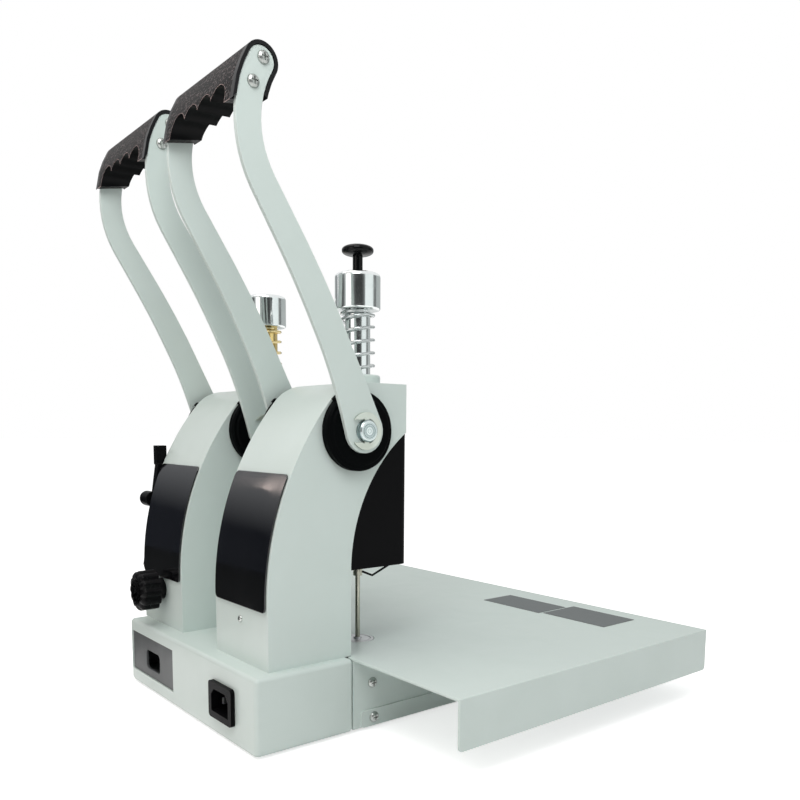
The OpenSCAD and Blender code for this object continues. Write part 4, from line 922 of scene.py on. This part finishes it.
paler = add_node(tree, "ShaderNodeMapRange", {"Value": height.outputs["Z"], "From Min": 0.7,
                                              "From Max": 1.0})
feed(tree, shader, Emission_Color=blend_colours(tree, paler.outputs[0], cloths.outputs["Color"],
                                                (0.9, 0.92, 0.92)))
bpy.ops.object.select_all(action="DESELECT")
bpy.ops.mesh.primitive_cylinder_add(vertices=96, radius=1.7, depth=1.0, location=(0, 0, 0.5),
                                    end_fill_type="NOTHING")
ring_of_cloths = take_new("ring_of_cloths")
ring_of_cloths.data.materials.append(cloth_ring)


def set_up_card(name, place, width, height, turn, finish):
    """A flat card or cloth at its place, laid flat or stood up by its turn."""
    bpy.ops.object.select_all(action="DESELECT")
    bpy.ops.mesh.primitive_plane_add(size=1, location=place, rotation=turn)
    bpy.context.object.scale = (width, height, 1)
    card = take_new(name)
    card.data.materials.append(finish)
    return card


# A pale cloth hangs before the ring and fades out downwards, as the panels reflect it
facing_panels = (math.pi / 2, 0, math.radians(115))
fading_cloth, tree, shader = start_finish("fading cloth", Base_Color=(0, 0, 0, 1), Roughness=1.0,
                                          Specular_IOR_Level=0.0, Emission_Strength=1.0)
place = add_node(tree, "ShaderNodeTexCoord")
height = add_node(tree, "ShaderNodeSeparateXYZ", {"Vector": place.outputs["Object"]})
fade = add_node(tree, "ShaderNodeMapRange", {"Value": height.outputs["Z"], "From Min": 0.28,
                                             "From Max": 0.80})
feed(tree, shader, Emission_Color=blend_colours(tree, fade.outputs[0], (0.05, 0.055, 0.07),
                                                (0.95, 0.97, 1.0)))
pale_cloth = set_up_card("pale_cloth", (1.34, 0.70, 0.45), 0.75, 0.9, facing_panels, fading_cloth)

# A small warm card, whose glint lies in the near panel's upper corner
warm_card, tree, shader = start_finish("warm card", Roughness=1.0, Emission_Strength=6.0)
place = add_node(tree, "ShaderNodeTexCoord")
weave = add_node(tree, "ShaderNodeTexNoise", {"Vector": place.outputs["Object"], "Scale": 22.0})
feed(tree, shader, Emission_Color=blend_colours(tree, weave.outputs["Fac"], (0.4, 0.3, 0.27),
                                                (1.0, 0.86, 0.80)))
card = set_up_card("warm_card", (1.10, 0.705, 0.60), 0.05, 0.13, facing_panels, warm_card)

# A dark cloth lies on the floor under the pale one, so the panels darken downwards
floor_cloth, tree, shader = start_finish("floor cloth", Roughness=1.0, Specular_IOR_Level=0.0)
place = add_node(tree, "ShaderNodeTexCoord")
nap = add_node(tree, "ShaderNodeTexNoise", {"Vector": place.outputs["Object"], "Scale": 40.0})
feed(tree, shader, Base_Color=blend_colours(tree, nap.outputs["Fac"], (0.03, 0.032, 0.034),
                                            (0.07, 0.074, 0.075)))
dark_cloth = set_up_card("floor_cloth", (0.90, 0.66, 0.004), 1.45, 1.0, (0, 0, 0), floor_cloth)
for prop in (ring_of_cloths, pale_cloth, card, dark_cloth):
    prop.visible_camera = prop.visible_diffuse = prop.visible_shadow = False

aim = Vector((0, 0, 0.2))
for lamp_name, spot, width, power, tint in (
        ("left_softbox", (-0.42, 0.40, 0.75), 0.4, 2.3, (1.0, 1.0, 1.0)),
        ("top_softbox", (0.2, 0.5, 1.5), 0.9, 5.5, (1.0, 0.94, 0.90)),
        ("rear_softbox", (-0.2, 1.4, 0.5), 0.5, 0.9, (1.0, 0.80, 0.72))):
    bpy.ops.object.light_add(type="AREA", location=spot)
    lamp = bpy.context.object
    lamp.name = lamp_name
    lamp.data.size = width
    lamp.data.energy = power
    lamp.data.color = tint
    lamp.rotation_euler = (aim - lamp.location).to_track_quat("-Z", "Y").to_euler()

bpy.ops.object.camera_add(location=(-0.50771, 0.38213, 0.19756),
                          rotation=(1.455638, -0.006477, -2.253114))
camera = bpy.context.object
camera.data.lens = 35.748
camera.data.shift_y = 0.1528
bpy.context.scene.camera = camera
bpy.context.scene.view_settings.view_transform = "Standard"


def plain(box):
    return [[round(v, 6) for v in corner] for corner in box]
